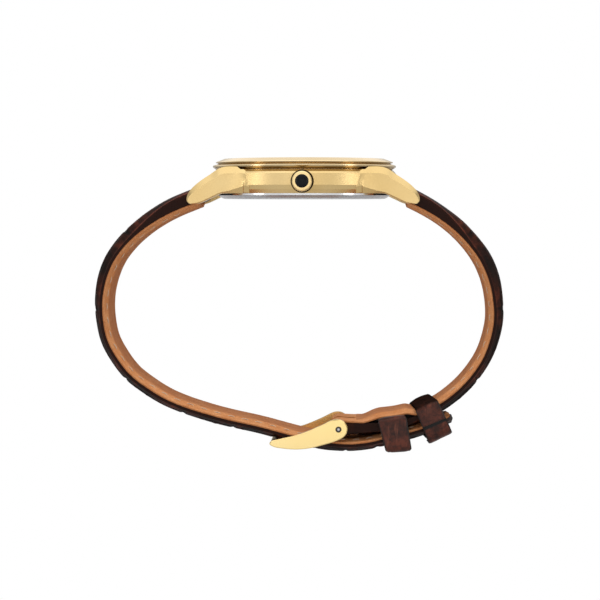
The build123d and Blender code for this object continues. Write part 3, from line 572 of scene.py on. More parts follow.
def thread(name, first, second):
    mat = Material(name)
    fibre = mat.noise(scale=1.0, detail=2.0, rough=0.5,
                      vector=mat.mapping(scale=(9000.0, 9000.0, 9000.0)))
    twist = mat.texture("ShaderNodeTexWave", Scale=2600.0, Distortion=1.5)["Fac"]
    return mat.finish(Base_Color=mat.mottle(fibre, first, second, start=0.3, end=0.7),
                      Roughness=0.75, Specular_IOR_Level=0.25, Sheen_Weight=0.2,
                      Normal=mat.bump(mat.add(twist, fibre), strength=0.4,
                                      distance=0.00004))


LEATHER_DARK = dark_leather()
LEATHER_TAN = tan_leather()
LEATHER_KEEPER = keeper_leather()
THREAD_LIGHT = thread("thread_cream", srgb(212, 194, 172), srgb(186, 164, 138))
THREAD_DARK = thread("thread_brown", srgb(66, 34, 27), srgb(44, 24, 19))
INK = mottled("dial_ink", srgb(60, 52, 44), srgb(74, 64, 54), scale=3000.0, rough=0.5)

# pieces that aren't listed are plain steel
PIECES = {
    GOLD: "case_middle",
    GOLD_CROWN: "crown",
    GOLD_BEZEL: "bezel",
    GOLD_POLISHED: "hour_markers hour_hand minute_hand seconds_hand",
    GOLD_BUCKLE: "buckle_frame buckle_tongue",
    STEEL_BACK: "case_back",
    STEEL_PIN: "buckle_bar_tip_crown_side buckle_bar_tip_far_side",
    CABOCHON: "crown_cabochon",
    RUBBER: "crystal_gasket case_back_gasket crown_gasket",
    RING_PLASTIC: "movement_ring",
    BOARD: "circuit_board",
    DIAL_RING: "dial_ring",
    DIAL: "dial",
    GLASS: "crystal",
    COPPER: "coil_winding",
    BRASS: "case_tube main_plate train_bridge cannon_pinion hour_wheel minute_wheel "
           "setting_wheel centre_wheel third_wheel fourth_wheel fifth_wheel",
}


def dress_pieces():
    chosen = {name: material for material, names in PIECES.items() for name in names.split()}
    for name, obj in NODES.items():
        obj.data.materials.clear()
        obj.data.materials.append(chosen.get(name, STEEL))


dress_pieces()

# ------------------------------------------------------------------ the straps' paths
# x, z of the line between leather and lining, leather thickness outside it
LONG_LINE = [
    (-21.52, -0.40, 3.00), (-26.5, -2.40, 2.98), (-30.1, -4.2, 2.80), (-33.6, -6.5, 2.60),
    (-36.9, -9.4, 2.40), (-39.6, -12.9, 2.12), (-41.3, -16.9, 1.92), (-42.1, -21.1, 1.67),
    (-42.0, -25.5, 1.48), (-41.1, -29.7, 1.42), (-39.0, -33.6, 1.40), (-36.3, -37.0, 1.38),
    (-32.8, -39.7, 1.36), (-29.2, -41.9, 1.35), (-25.5, -43.5, 1.35), (-21.9, -44.7, 1.35),
    (-18.5, -45.7, 1.35), (-15.3, -46.5, 1.35), (-12.3, -47.15, 1.35), (-9.4, -47.8, 1.35),
    (-6.5, -48.55, 1.36), (-3.2, -49.45, 1.38), (0.0, -50.25, 1.42), (3.0, -50.85, 1.50),
    (5.8, -51.2, 1.55), (9.6, -51.45, 1.45), (13.4, -51.1, 1.42), (16.55, -50.4, 1.42),
    (19.6, -49.65, 1.40), (22.2, -48.95, 1.40), (25.1, -48.1, 1.35), (28.4, -47.0, 1.30),
    (31.3, -45.85, 1.25),
]
SHORT_LINE = [
    (21.52, -0.40, 3.00), (25.27, -2.28, 2.85), (28.55, -4.26, 2.70), (31.7, -6.7, 2.70),
    (34.6, -9.7, 2.65), (37.0, -13.1, 2.60), (38.7, -17.0, 2.35), (39.6, -21.1, 2.05),
    (39.8, -25.4, 1.90), (39.0, -29.6, 1.75), (37.5, -33.5, 1.62), (35.1, -37.1, 1.60),
    (32.2, -40.2, 1.56), (28.6, -42.95, 1.52), (24.6, -45.05, 1.50), (20.4, -46.3, 1.58),
    (16.4, -46.85, 1.80), (12.7, -46.95, 2.05), (10.6, -46.92, 2.15),
]
SHORT_LINING_END = [(9.2, -46.93, 1.0), (7.9, -47.05, 1.0)]

# places along each strap of the creases that cross it
LONG_CREASES = [
    -16.0, -0.5, 16.3, 33.0, 48.0, 62.0, 72.5, 82.0, 90.0, 97.0, 103.0, 108.5, 113.5, 118.0,
    122.5, 127.0, 131.5, 136.0, 140.5, 145.0,
]
SHORT_CREASES = [-16.0, -1.0, 14.3, 30.5, 45.5, 59.0, 69.0, 77.5, 85.0, 92.0, 99.0, 106.0]


class Station(namedtuple("Station", "x z normal_x normal_z thick half")):
    """A place on a path: its outward normal, leather thickness and half width."""

    def point(self, height, y):
        return (self.x + self.normal_x * height, y, self.z + self.normal_z * height)


def tip_width(along, end, half):
    """The half width, narrowed to a rounded tip at end."""
    reach = 7.9
    share = (along - (end - reach)) / reach
    if share <= 0:
        return half
    return max(0.25, half * math.sqrt(max(0.0, 1 - min(1.0, share) ** 2.6)))


class Path:
    """A smooth curve in XZ measured by arc length, with its normal away from centre."""

    def __init__(self, points, start_half=9.85, end_half=9.0, taper=52.0, centre=(0, -25)):
        def beyond(end, inner):
            return tuple(2 * a - b for a, b in zip(end, inner))
        knots = [beyond(points[0], points[1]), *points, beyond(points[-1], points[-2])]
        self.dense = []
        for i in range(1, len(knots) - 2):
            for k in range(12):
                t = k / 12
                # Catmull-Rom
                self.dense.append(tuple(
                    0.5 * (2 * b + (c - a) * t + (2 * a - 5 * b + 4 * c - d) * t * t
                           + (3 * b - a - 3 * c + d) * t ** 3)
                    for a, b, c, d in zip(*knots[i - 1:i + 3])))
        self.dense.append(tuple(points[-1]))
        self.lengths = [0.0]
        for a, b in zip(self.dense, self.dense[1:]):
            self.lengths.append(self.lengths[-1] + math.hypot(b[0] - a[0], b[1] - a[1]))
        self.length = self.lengths[-1]
        self.start_half, self.end_half, self.taper = start_half, end_half, taper
        self.centre = centre

    def at(self, along, tip=None):
        """The station at an arc length; beyond the ends the path runs on straight."""
        inside = min(max(along, 0.0), self.length)
        low = min(bisect_right(self.lengths, inside) - 1, len(self.lengths) - 2)
        high = low + 1
        gap = max(self.lengths[high] - self.lengths[low], 1e-9)
        share = (inside - self.lengths[low]) / gap
        x, z, thick = (a + (b - a) * share
                       for a, b in zip(self.dense[low], self.dense[high]))
        # a tangent averaged over several points keeps the surface smooth
        before = self.dense[max(0, low - 3)]
        after = self.dense[min(len(self.dense) - 1, high + 3)]
        tangent_x, tangent_z = after[0] - before[0], after[1] - before[1]
        size = math.hypot(tangent_x, tangent_z)
        tangent_x, tangent_z = tangent_x / size, tangent_z / size
        normal_x, normal_z = -tangent_z, tangent_x
        if normal_x * (x - self.centre[0]) + normal_z * (z - self.centre[1]) < 0:
            normal_x, normal_z = -normal_x, -normal_z
        x, z = x + tangent_x * (along - inside), z + tangent_z * (along - inside)
        tapered = min(1.0, max(0.0, along) / self.taper)
        half = self.start_half + (self.end_half - self.start_half) * tapered
        if tip:
            half = tip_width(along, tip, half)
        return Station(x, z, normal_x, normal_z, thick, half)


class Strap(namedtuple("Strap", "path creases seed folded")):
    """folded: the end wraps the buckle's bar; otherwise it narrows to a tip."""

    @property
    def tip(self):
        return None if self.folded else self.path.length

    def fold(self, along):
        """0..1 towards a folded end."""
        return ease(along, self.path.length - 16.0, 6.0) if self.folded else 0.0

    def row(self, along):
        """The number of creases before a place, growing without steps."""
        creases = self.creases
        for i in range(len(creases) - 1):
            if along < creases[i + 1]:
                return i + (along - creases[i]) / (creases[i + 1] - creases[i])
        return len(creases) - 1 + (along - creases[-1]) / 5.0


LONG_STRAP = Strap(Path(LONG_LINE), LONG_CREASES, seed=3.1, folded=False)
SHORT_STRAP = Strap(Path(SHORT_LINE), SHORT_CREASES, seed=8.7, folded=True)
SHORT_LINING_PATH = Path(SHORT_LINE + SHORT_LINING_END)


# ------------------------------------------------------------------ embossed leather
COLUMN_EDGES = [-8.0, -5.6, -2.9, 2.9, 5.6, 8.0]   # y of the creases along the strap
SMALL_COLUMNS = (2, 4)                             # these have twice as many scales


def scales(strap, along, y):
    """(groove 0..1, pillow 0..1) of the embossed hide at a point of the strap."""
    seed = strap.seed
    wavy_along = (along + 0.9 * noise3(along * 0.13, y * 0.22, seed)
                  + 0.25 * noise3(along * 0.6, y * 0.6, seed + 5))
    wavy_y = (y + 0.55 * noise3(along * 0.16, y * 0.2, seed + 9)
              + 0.15 * noise3(along * 0.7, y * 0.7, seed + 2))
    to_column = min(abs(wavy_y - edge) for edge in COLUMN_EDGES)
    small = sum(wavy_y > edge for edge in COLUMN_EDGES) in SMALL_COLUMNS
    repeat, offset = (2.0, 0.5) if small else (1.0, 0.0)
    row = strap.row(wavy_along) * repeat + offset
    rows_per_mm = (strap.row(wavy_along + 0.5) - strap.row(wavy_along - 0.5)) * repeat
    to_row = abs(row - round(row)) / max(1e-3, rows_per_mm)
    groove = max(bell(to_row, 0, 0.34), 0.8 * bell(to_column, 0, 0.30))
    return groove, 1.0 - bell(min(to_column, to_row), 0, 1.1)


def edge_jag(along):
    """Unevenness of the line where leather meets lining."""
    return 0.07 * noise3(along * 1.7, 1.3, 4.4) + 0.05 * noise3(along * 4.1, 7.7, 1.2)


def edge_height(along, thick, fold=0.0):
    """Height of the strap's edge face above the lining line."""
    height = 2.35 - 1.75 * ease(along, 3.0, 15.5)
    return min(thick - 0.12, height) * (1 - fold) + (thick - 0.08) * fold


def padding(inboard):
    """How far the padding has risen at a distance inboard of the edge."""
    return ease(inboard, 0.05, 1.5)


def swell(along):
    """Extra crown height away from the case."""
    return 0.22 * ease(along, 14.0, 12.0)


def crease_depth(pad):
    return 0.12 + 0.14 * pad


def pillow_height(pillow, pad):
    return 0.06 * (pillow - 0.6) * pad


def border_spaced(share, half):
    """y across the strap for a share 0..1, closer together at the borders."""
    return -half * math.cos(share * math.pi) * 0.35 + (-half + 2 * half * share) * 0.65


def strap_section(strap, along):
    """The station, heights of underside, edge face and top, and the fold."""
    underside, head_top, head_low = 0.02, 1.875, 1.30
    station = strap.path.at(along, strap.tip)
    under, top = underside, station.thick
    if along < 1.6:
        # rounded end about the spring bar
        back = max(0.0, -along)
        middle = (strap.path.at(0).thick - 0.75) / 2
        upper = math.sqrt(max(0.02, head_top ** 2 - back * back))
        lower = math.sqrt(max(0.01, head_low ** 2 - (back * 0.70) ** 2))
        blend = ease(along, span=1.4)
        top = (middle + upper) * (1 - blend) + station.thick * blend
        under = (middle - lower) * (1 - blend) + underside * blend
    # closing bevel at the cut end
    top = under + (top - under) * (0.62 + 0.38 * ease(strap.path.length - along, span=0.5))
    fold = strap.fold(along)
    if along > -1.0:
        edge = min(edge_height(max(along, 0), station.thick, fold), top - 0.08)
    else:
        edge = under + (top - under) * 0.6
    return station, under, max(edge, under + 0.12), top, fold


def ridge_wear(strap, along, y, inboard, groove):
    """0..1 reddish wear at the border, beside the creases and in cloudy patches."""
    border = bell(inboard, 0.20, 0.16) * (0.20 + 0.80 * (1 - ease(along, 12.0, 8.0)))
    burn = max(0.0, noise3(along * 0.22 + 3, y * 0.3, 6.6)) * 1.6
    row = strap.row(along)
    by_crease = bell(abs(row - round(row)) * 14.0, 2.2, 1.8)
    patchy = max(0.0, 0.35 + noise3(along * 0.9, y * 0.8, 2.9))
    return min(1.0, border + 0.7 * burn * bell(groove, 0.35, 0.25) + 0.12 * burn
               + 0.75 * by_crease * patchy)


def strap_ring(strap, along):
    """A station and its ring of (y, height, groove, ridge, side)."""
    edge_steps, top_steps, under_steps = 5, 91, 12
    station, under, edge, top, fold = strap_section(strap, along)
    half, jag = station.half, edge_jag(along)

    def edge_point(y, share):
        height = under + jag * (1 - share) + (edge - under) * share
        return (y, height, 0.15 * (1 - share), 0.0, 1.0)

    def top_point(y):
        inboard = half - abs(y)
        pad = padding(inboard) if half > 3 else 0.6
        body = min(1.0, (top - under) / 1.6)
        flat = min(top, edge + 0.10 * ease(inboard, 0.1, 0.35))
        crown = 0.93 + 0.07 * ease(inboard, span=7.0)
        height = flat + (top + swell(along) - flat) * pad * crown
        groove, pillow = scales(strap, max(along, -1), y)
        relief = crease_depth(pad) * ease(inboard, 0.1, 0.6) * body
        # the bell is the channel that the stitches lie in
        height -= relief * groove * (1 - fold) + 0.05 * bell(inboard, OUTER_INSET, 0.22)
        height += pillow_height(pillow, pad) * body
        ridge = ridge_wear(strap, along, y, inboard, groove)
        return (y, height, groove * ease(inboard, 0.3, 1.0), ridge, 0.0)

    ring = []
    for j in range(edge_steps):
        share = j / edge_steps
        ring.append(edge_point(-half - 0.02 * math.sin(share * math.pi), share))
    for j in range(top_steps + 1):
        ring.append(top_point(border_spaced(j / top_steps, half)))
    for j in range(1, edge_steps + 1):
        ring.append(edge_point(half, 1 - j / edge_steps))
    for j in range(1, under_steps):
        ring.append((half - 2 * half * j / under_steps, under, 0.0, 0.0, 0.0))
    return station, ring


def strap_leather(name, strap, replaces):
    """The dark embossed leather with its padding, as one closed crowned body."""
    start, end, step = -1.85, strap.path.length, 0.30
    steps = int((end - start) / step)
    verts, faces = [], []
    looks = {"groove": [], "ridge": [], "side": []}
    for i in range(steps + 1):
        station, ring = strap_ring(strap, start + (end - start) * i / steps)
        for y, height, *values in ring:
            verts.append(station.point(height, y))
            for look, value in zip(looks.values(), values):
                look.append(value)
    skin(faces, 0, steps + 1, len(ring))
    make_mesh(name, verts, faces, LEATHER_DARK, attributes=looks,
              sharp=50, replaces=replaces)


# ------------------------------------------------------------------ lining
def lining_profile(y, half, centre=LINING_CENTRE):
    """Inward depth of the lining's face: crowned, thin at the stitched border."""
    return LINING_BORDER + (centre - LINING_BORDER) * ease(half - abs(y), 0.15, 2.7)


def no_lift(along):
    return 0.0


def short_lift(along):
    """The lining rises over the fixed keeper's sewn-in end."""
    if along < 60:
        return 0.0
    x = SHORT_LINING_PATH.at(along).x
    return 0.95 * ease(x, 12.2, 4.4) * ease(24.2 - x, span=2.6)


def lining_strip(path, end, lift, verts, faces, edge, thin_end=0.0, tip=None):
    """A strip of lining; over its last thin_end it flattens to the border's depth."""
    start, step, across, under_steps = 0.35, 0.5, 40, 6
    steps = max(2, int((end - start) / step))
    first = len(verts)
    for i in range(steps + 1):
        along = start + (end - start) * i / steps
        station = path.at(along, tip)
        half, raised = station.half, lift(along)
        seam = -raised - edge_jag(along) * 0.6
        shoulder = -(raised + 0.25) if raised > 0.05 else -0.18
        cut = 0.55 + 0.45 * ease(min(along - start, end - along), span=0.5)
        flatten = ease(along - end + thin_end, span=max(thin_end, 0.1))
        centre = LINING_CENTRE + (LINING_BORDER + 0.02 - LINING_CENTRE) * flatten
        ring = []
        for j in range(across + 1):
            y = border_spaced(j / across, half)
            inboard = half - abs(y)
            depth = lining_profile(y, half, centre) * cut
            depth += 0.02 * noise3(along * 0.8, y * 0.8, 2.2)
            depth -= 0.05 * bell(inboard, LINING_INSET, 0.25)
            if inboard < 0.15:
                depth -= 0.10 * (1 - inboard / 0.15)
            # the third value is painted shade, darker over the middle away from the stitched
            # border; the cut edge below is the leather's own darker edge
            ring.append((y, -(raised + depth), 0.50 * ease(inboard, 2.0, 1.3)))
        ring += [(half, shoulder, 0.5), (half, seam, 0.9)]
        ring += [(half - 2 * half * j / under_steps, -raised, 0.0)
                 for j in range(1, under_steps)]
        ring += [(-half, seam, 0.9), (-half, shoulder, 0.5)]
        for y, height, dark in ring:
            verts.append(station.point(height, y))
            edge.append(dark)
    skin(faces, first, steps + 1, len(ring), flip_sides=True, flip_caps=True)


def bar_wrap_path():
    """Path of the lining that turns round the buckle's bar."""
    radius, first_angle, angle_step = 1.44, 86, 14.5
    points = [(11.9, -46.98, 1.0), (10.4, -46.95, 1.0), (9.0, -46.88, 1.0)]
    for k in range(6):
        angle = math.radians(first_angle + k * angle_step)
        points.append((BAR_AXIS[0] + radius * math.cos(angle),
                       BAR_AXIS[1] + radius * math.sin(angle), 1.0))
    return Path(points, start_half=9.0, end_half=8.5, taper=3.0, centre=BAR_AXIS)


def lining_wrap(side, path, verts, faces, edge):
    """One half of the lining round the bar; it grows away from the bar."""
    steps, across = 40, 14
    first = len(verts)
    for i in range(steps + 1):
        along = path.length * i / steps
        station = path.at(along)
        low, high = sorted((side * TONGUE_GAP, side * min(station.half, WRAP_HALF_WIDTH)))
        to_end = min(along + 0.3, path.length - along)
        thick = 0.44 * (0.45 + 0.55 * ease(to_end, span=0.6))
        ring = []
        for j in range(across + 1):
            y = low + (high - low) * j / across
            rounded = 0.86 + 0.14 * ease(min(j, across - j) / across * 5)
            ring.append((y, thick * rounded + 0.02 * noise3(along, y, 3.3), 0.0))
        ring.append((high, 0.0, 0.8))
        ring += [(high + (low - high) * k / 4, 0.0, 0.0) for k in (1, 2, 3)]
        ring.append((low, 0.0, 0.8))
        for y, height, dark in ring:
            verts.append(station.point(height, y))
            edge.append(dark)
    skin(faces, first, steps + 1, len(ring))


def long_lining():
    verts, faces, edge = [], [], []
    path = LONG_STRAP.path
    lining_strip(path, path.length - 0.35, no_lift, verts, faces, edge,
                 tip=path.length - 0.1)
    make_mesh("strap_long_lining_leather", verts, faces, LEATHER_TAN,
              attributes={"edge": edge}, sharp=60, replaces=["strap_long_lining"])


def short_lining():
    verts, faces, edge = [], [], []
    path = SHORT_STRAP.path
    lining_strip(path, path.length - 0.1, short_lift, verts, faces, edge, thin_end=4.5)
    wrap = bar_wrap_path()
    for side in (-1, 1):
        lining_wrap(side, wrap, verts, faces, edge)
    make_mesh("strap_short_lining_leather", verts, faces, LEATHER_TAN,
              attributes={"edge": edge}, sharp=60, replaces=["strap_short_lining"])


# ------------------------------------------------------------------ stitches
def stitch(verts, faces, start, end, up):
    """A short bent thread, bowed towards up, sinking in at its ends."""
    radius, rings, around = 0.12, 7, 6
    bow, sink = 0.13, 0.05
    start, end, up = Vector(start), Vector(end), Vector(up).normalized()
    side = (end - start).normalized().cross(up).normalized()
    first = len(verts)
    for i in range(rings):
        share = i / (rings - 1)
        centre = start.lerp(end, share) + up * (bow * math.sin(math.pi * share) - sink)
        plump = math.sin(math.pi * (share * 0.9 + 0.05)) ** 0.5
        width = radius * (0.45 + 0.55 * plump)
        for k in range(around):
            angle = 2 * math.pi * k / around
            verts.append(tuple(centre + side * (width * math.cos(angle))
                               + up * (width * 0.8 * math.sin(angle))))
    skin(faces, first, rings, around, flip_caps=True)


def stitch_lines(name, strap, end, inset, height_at, facing, material):
    """Stitches along both borders. facing: 1 on the outer face, -1 on the lining."""
    pitch, length, slant = 3.0, 1.60, 0.10
    verts, faces = [], []
    for side in (-1, 1):
        along, count = STITCH_START, 0
        while along + length < end:
            ends = []
            for share in (0.0, 1.0):
                place = along + length * share
                station = strap.path.at(place, strap.tip)
                if station.half < 3.0:
                    break
                y = side * (station.half - inset + slant * (share - 0.5) * side)
                ends.append(station.point(height_at(place, y, station), y))
            if len(ends) == 2:
                middle = strap.path.at(along + length / 2)
                up = (middle.normal_x * facing, 0.0, middle.normal_z * facing)
                stitch(verts, faces, *ends, up)
            along += pitch * (1 + 0.03 * noise3(count * 1.7, side, 0.5))
            count += 1
    make_mesh(name, verts, faces, material)


def lining_stitches(name, strap, end, lift):
    def height_at(along, y, station):
        return -(lift(along) + lining_profile(y, station.half) - 0.05)
    stitch_lines(name, strap, end, LINING_INSET, height_at, facing=-1,
                 material=THREAD_LIGHT)


def outer_stitches(name, strap, end):
    def height_at(along, y, station):
        thick = station.thick
        pad = padding(station.half - abs(y))
        height = min(thick, min(edge_height(along, thick), thick - 0.08) + 0.10)
        height += (thick + swell(along) - height) * pad * 0.93
        groove, pillow = scales(strap, along, y)
        return height - crease_depth(pad) * groove + pillow_height(pillow, pad) - 0.10
    stitch_lines(name, strap, end, OUTER_INSET, height_at, facing=1,
                 material=THREAD_DARK)


# ------------------------------------------------------------------ keepers
def between(start, end, share):
    return tuple(a + (b - a) * share for a, b in zip(start, end))


class Keeper(namedtuple("Keeper", "corners height thick corner_radius skew")):
    """A leather band bent into a rounded rectangle. corners: x, z of the top left, top
    right, bottom left and bottom right of its near face. Depth runs down from the top."""

    def sides(self, depth):
        """Left and right border points at a depth, and the width between them."""
        top_left, top_right, bottom_left, bottom_right = self.corners
        left = between(top_left, bottom_left, depth / self.height)
        right = between(top_right, bottom_right, depth / self.height)
        return left, right, math.hypot(right[0] - left[0], right[1] - left[1])

    def place(self, y, depth, share, drop):
        """x, z at a share of the width, moved down by drop."""
        left, right, width = self.sides(depth)
        lean = self.skew * (y + KEEPER_HALF_WIDTH) / (2 * KEEPER_HALF_WIDTH) / width
        top_left, _, bottom_left, _ = self.corners
        return tuple(a + (b - a) * (share + lean) + (low - high) / self.height * drop
                     for a, b, high, low in zip(left, right, top_left, bottom_left))


def arc_points(y, depth, radius, start, end):
    """(y, depth, normal) round an arc, angles in degrees."""
    steps = 8
    points = []
    for k in range(steps + 1):
        angle = math.radians(start + (end - start) * k / steps)
        normal = (math.cos(angle), math.sin(angle))
        points.append((y + radius * normal[0], depth + radius * normal[1], normal))
    return points


def line_points(start, end, normal, steps):
    return [(*between(start, end, k / steps), normal) for k in range(steps + 1)]


def keeper_loop(keeper):
    """The mid-line of the band, once round."""
    radius = keeper.corner_radius
    side = KEEPER_HALF_WIDTH - keeper.thick / 2
    top, bottom = keeper.thick / 2, keeper.height - keeper.thick / 2
    flat, upper, lower = side - radius, top + radius, bottom - radius
    return (arc_points(-flat, upper, radius, 270, 180)
            + line_points((-side, upper), (-side, lower), (-1, 0), 18)[1:-1]
            + arc_points(-flat, lower, radius, 180, 90)
            + line_points((-flat, bottom), (flat, bottom), (0, 1), 30)[1:-1]
            + arc_points(flat, lower, radius, 90, 0)
            + line_points((side, lower), (side, upper), (1, 0), 18)[1:-1]
            + arc_points(flat, upper, radius, 0, -90)
            + line_points((flat, top), (-flat, top), (0, -1), 30)[1:-1])


# share of the width and face, 1 outer and -1 inner, once round a keeper's section
KEEPER_STEPS = 14
KEEPER_SECTION = ([(k / KEEPER_STEPS, 1) for k in range(KEEPER_STEPS + 1)]
                  + [(1 - k / KEEPER_STEPS, -1) for k in range(KEEPER_STEPS + 1)])


def keeper_band(name, keeper, body, node, crown, top_shade=0.0):
    loop = keeper_loop(keeper)
    height, thick = keeper.height, keeper.thick
    verts, faces, edge, band = [], [], [], []
    for y, depth, (normal_y, normal_depth) in loop:
        width = keeper.sides(depth)[2]
        corner = ease(0.85 - min(depth, height - depth), span=0.85)
        top_face = ease(-normal_depth, 0.3, 0.5)
        for share, face in KEEPER_SECTION:
            border = min(share, 1 - share) * width
            inset = 0.34 * corner * (1 - 2 * share) / width
            out = face * (thick / 2 - 0.26 * (1 - ease(border, span=0.50)))
            if face > 0:
                wobble = (0.05 * noise3(y * 0.5 + share, depth * 0.6, 3.0 + height)
                          + 0.02 * noise3(y * 1.7, share * 4, depth))
                out += crown * ease(border, span=2.2) + wobble * ease(border, span=0.8)
                # a creased line near each long border
                out -= 0.05 * bell(border, 0.75, 0.14)
            x, z = keeper.place(y, depth, share + inset, normal_depth * out)
            verts.append((x, y + normal_y * out, z))
            edge.append(ease(0.20 - border, span=0.14))
            # band darkens the top face as painted shade, and the inner face
            band.append(min(1.0, top_shade * top_face + (0.9 if face < 0 else 0.0)))
    around = len(KEEPER_SECTION)
    for i in range(len(loop)):
        ring, following = i * around, (i + 1) % len(loop) * around
        for j in range(around):
            k = (j + 1) % around
            faces.append((ring + j, following + j, following + k, ring + k))
    make_mesh(name, verts, faces, LEATHER_KEEPER, body,
              attributes={"edge": edge, "band": band}, sharp=55, replaces=[node])


def keeper_lap(name, keeper, body, start_depth, end_y, extra):
    """The keeper's outer end, lapped over its near side and turned under.
    extra is the lap's own thickness."""
    thick, radius = keeper.thick, keeper.corner_radius
    side, bottom = KEEPER_HALF_WIDTH - thick / 2, keeper.height - thick / 2
    flat, lower = side - radius, bottom - radius
    line = (line_points((-side, start_depth), (-side, lower), (-1, 0), 8)
            + arc_points(-flat, lower, radius, 180, 90)[1:]
            + line_points((-flat, bottom), (end_y, bottom), (0, 1), 8)[1:])
    verts, faces, edge, band = [], [], [], []
    for i, (y, depth, (normal_y, normal_depth)) in enumerate(line):
        width = keeper.sides(depth)[2]
        lap_thick = extra * (0.25 + 0.75 * ease(len(line) - 1 - i, span=6.0))
        for share, face in KEEPER_SECTION:
            border = min(share, 1 - share) * width
            out = thick / 2 - 0.06
            if face > 0:
                out = (thick / 2 + lap_thick - 0.14 * (1 - ease(border, span=0.3))
                       + 0.04 * noise3(y, share * 5, depth) + 0.05 * ease(border))
            slant = 0.30 * (share - 0.5) * max(0.0, 1 - i / 4.0)
            x, z = keeper.place(y, depth, share, normal_depth * out + slant)
            verts.append((x, y + normal_y * out, z))
            edge.append(1.0 if i <= 2 else ease(0.22 - border, span=0.16))
            band.append(0.15)
    skin(faces, 0, len(line), len(KEEPER_SECTION), flip_sides=True)
    make_mesh(name, verts, faces, LEATHER_KEEPER, body,
              attributes={"edge": edge, "band": band}, sharp=50)


def free_keeper_corner(right, down):
    """x, z of a point in the free keeper's own frame."""
    origin, tilt = (22.7, -43.5), math.radians(26.0)
    cosine, sine = math.cos(tilt), math.sin(tilt)
    return (origin[0] + right * cosine + down * sine,
            origin[1] + right * sine - down * cosine)


FIXED_KEEPER = Keeper(
    corners=((15.50, -46.00), (21.50, -45.08), (17.30, -53.15), (22.75, -52.75)),
    height=7.25, thick=0.95, corner_radius=0.70, skew=0.0)
FREE_KEEPER = Keeper(
    corners=(free_keeper_corner(0.40, 0.42), free_keeper_corner(5.5, 0.50),
             free_keeper_corner(-0.05, 8.25), free_keeper_corner(5.35, 8.25)),
    height=7.8, thick=0.85, corner_radius=0.95, skew=-1.1)


# ------------------------------------------------------------------ folded end
def folded_end():
    """The short strap's leather folded round the buckle's bar, in two halves beside
    the tongue."""
    radius, first_angle, angle_step, across = 1.58, 68, 17, 24
    outline = [(13.6, -47.15), (11.0, -47.10), (9.2, -47.0)]      # x, z
    for k in range(13):
        angle = math.radians(first_angle + k * angle_step)
        outline.append((BAR_AXIS[0] + radius * math.cos(angle),
                        BAR_AXIS[1] + radius * math.sin(angle)))
    outline += [(9.0, -49.62), (9.9, -49.30), (11.0, -49.08), (12.4, -48.96),
                (13.6, -48.85)]
    count = len(outline)
    centre_x = sum(x for x, z in outline) / count
    centre_z = sum(z for x, z in outline) / count
    verts, faces, groove, ridge = [], [], [], []
    for low, high in ((-WRAP_HALF_WIDTH, -TONGUE_GAP), (TONGUE_GAP, WRAP_HALF_WIDTH)):
        first = len(verts)
        for j in range(across + 1):
            y = low + (high - low) * j / across
            shrink = 0.16 * (1 - ease(min(y - low, high - y), span=0.35))
            for x, z in outline:
                out_x, out_z = x - centre_x, z - centre_z
                reach = math.hypot(out_x, out_z)
                grow = (reach - shrink + 0.05 * noise3(x, y * 0.7, 9.1)) / reach
                verts.append((centre_x + out_x * grow, y, centre_z + out_z * grow))
                groove.append(0.4 * bell(z + 0.15 * noise3(x, 0, 1), -48.05, 0.10))
                ridge.append(max(0.0, noise3(x * 0.5, y, z * 2.0)) * 1.1)
        skin(faces, first, across + 1, count, flip_caps=True)
    looks = {"groove": groove, "ridge": ridge, "side": [0.6] * len(ridge)}
    make_mesh("strap_short_folded_end", verts, faces, LEATHER_DARK,
              attributes=looks, sharp=40)


# ------------------------------------------------------------------ printed minute ring
def minute_track():
    lift, thick = 0.002, 0.02
    hour_mark = (15.3, 15.55, 0.10)       # inner radius, outer radius, half width
    minute_mark = (15.0, 15.5, 0.035)
    verts, faces = [], []
    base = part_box("dial")[1].z / MM + lift
    for k in range(60):
        inner, outer, half = minute_mark if k % 5 else hour_mark
        angle = math.radians(k * 6)
        cosine, sine = math.cos(angle), math.sin(angle)
        b = len(verts)
        for z in (base, base + thick):
            for r, w in ((inner, -half), (outer, -half), (outer, half), (inner, half)):
                verts.append((r * cosine - w * sine, r * sine + w * cosine, z))
        faces += [(b + 3, b + 2, b + 1, b), (b + 4, b + 5, b + 6, b + 7),
                  (b, b + 1, b + 5, b + 4), (b + 1, b + 2, b + 6, b + 5),
                  (b + 2, b + 3, b + 7, b + 6), (b + 3, b, b + 4, b + 7)]
    make_mesh("minute_track_print", verts, faces, INK, smooth=False)


# ------------------------------------------------------------------ build
def fixed_keeper_reach():
    """The last quarter millimetre along the short strap before the lining's stitches end."""
    path, end_x = SHORT_STRAP.path, 30.6
    return max(k * 0.25 for k in range(int(path.length * 4)) if path.at(k * 0.25).x > end_x)


strap_leather("strap_long_leather", LONG_STRAP, ["strap_long_outer", "strap_long_core"])
strap_leather("strap_short_leather", SHORT_STRAP, ["strap_short_outer", "strap_short_core"])
long_lining()
short_lining()
LONG_STITCH_END = LONG_STRAP.path.length - 3.5
lining_stitches("strap_long_lining_stitches", LONG_STRAP, LONG_STITCH_END, no_lift)
lining_stitches("strap_short_lining_stitches", SHORT_STRAP, fixed_keeper_reach(), short_lift)
outer_stitches("strap_long_outer_stitches", LONG_STRAP, LONG_STITCH_END)
outer_stitches("strap_short_outer_stitches", SHORT_STRAP, SHORT_STRAP.path.length - 12.0)
keeper_band("fixed_keeper_band", FIXED_KEEPER, "root", "fixed_keeper", crown=0.10)
keeper_band("free_keeper_band", FREE_KEEPER, "free_keeper", "free_keeper", crown=0.20,
            top_shade=0.9)
keeper_lap("free_keeper_lap", FREE_KEEPER, "free_keeper", start_depth=4.5, end_y=-3.0,
           extra=0.36)
folded_end()
minute_track()

# ------------------------------------------------------------------ studio, in metres
scene = bpy.context.scene
scene.view_settings.view_transform = "Standard"
scene.view_settings.look = "None"
scene.view_settings.exposure = 0.0


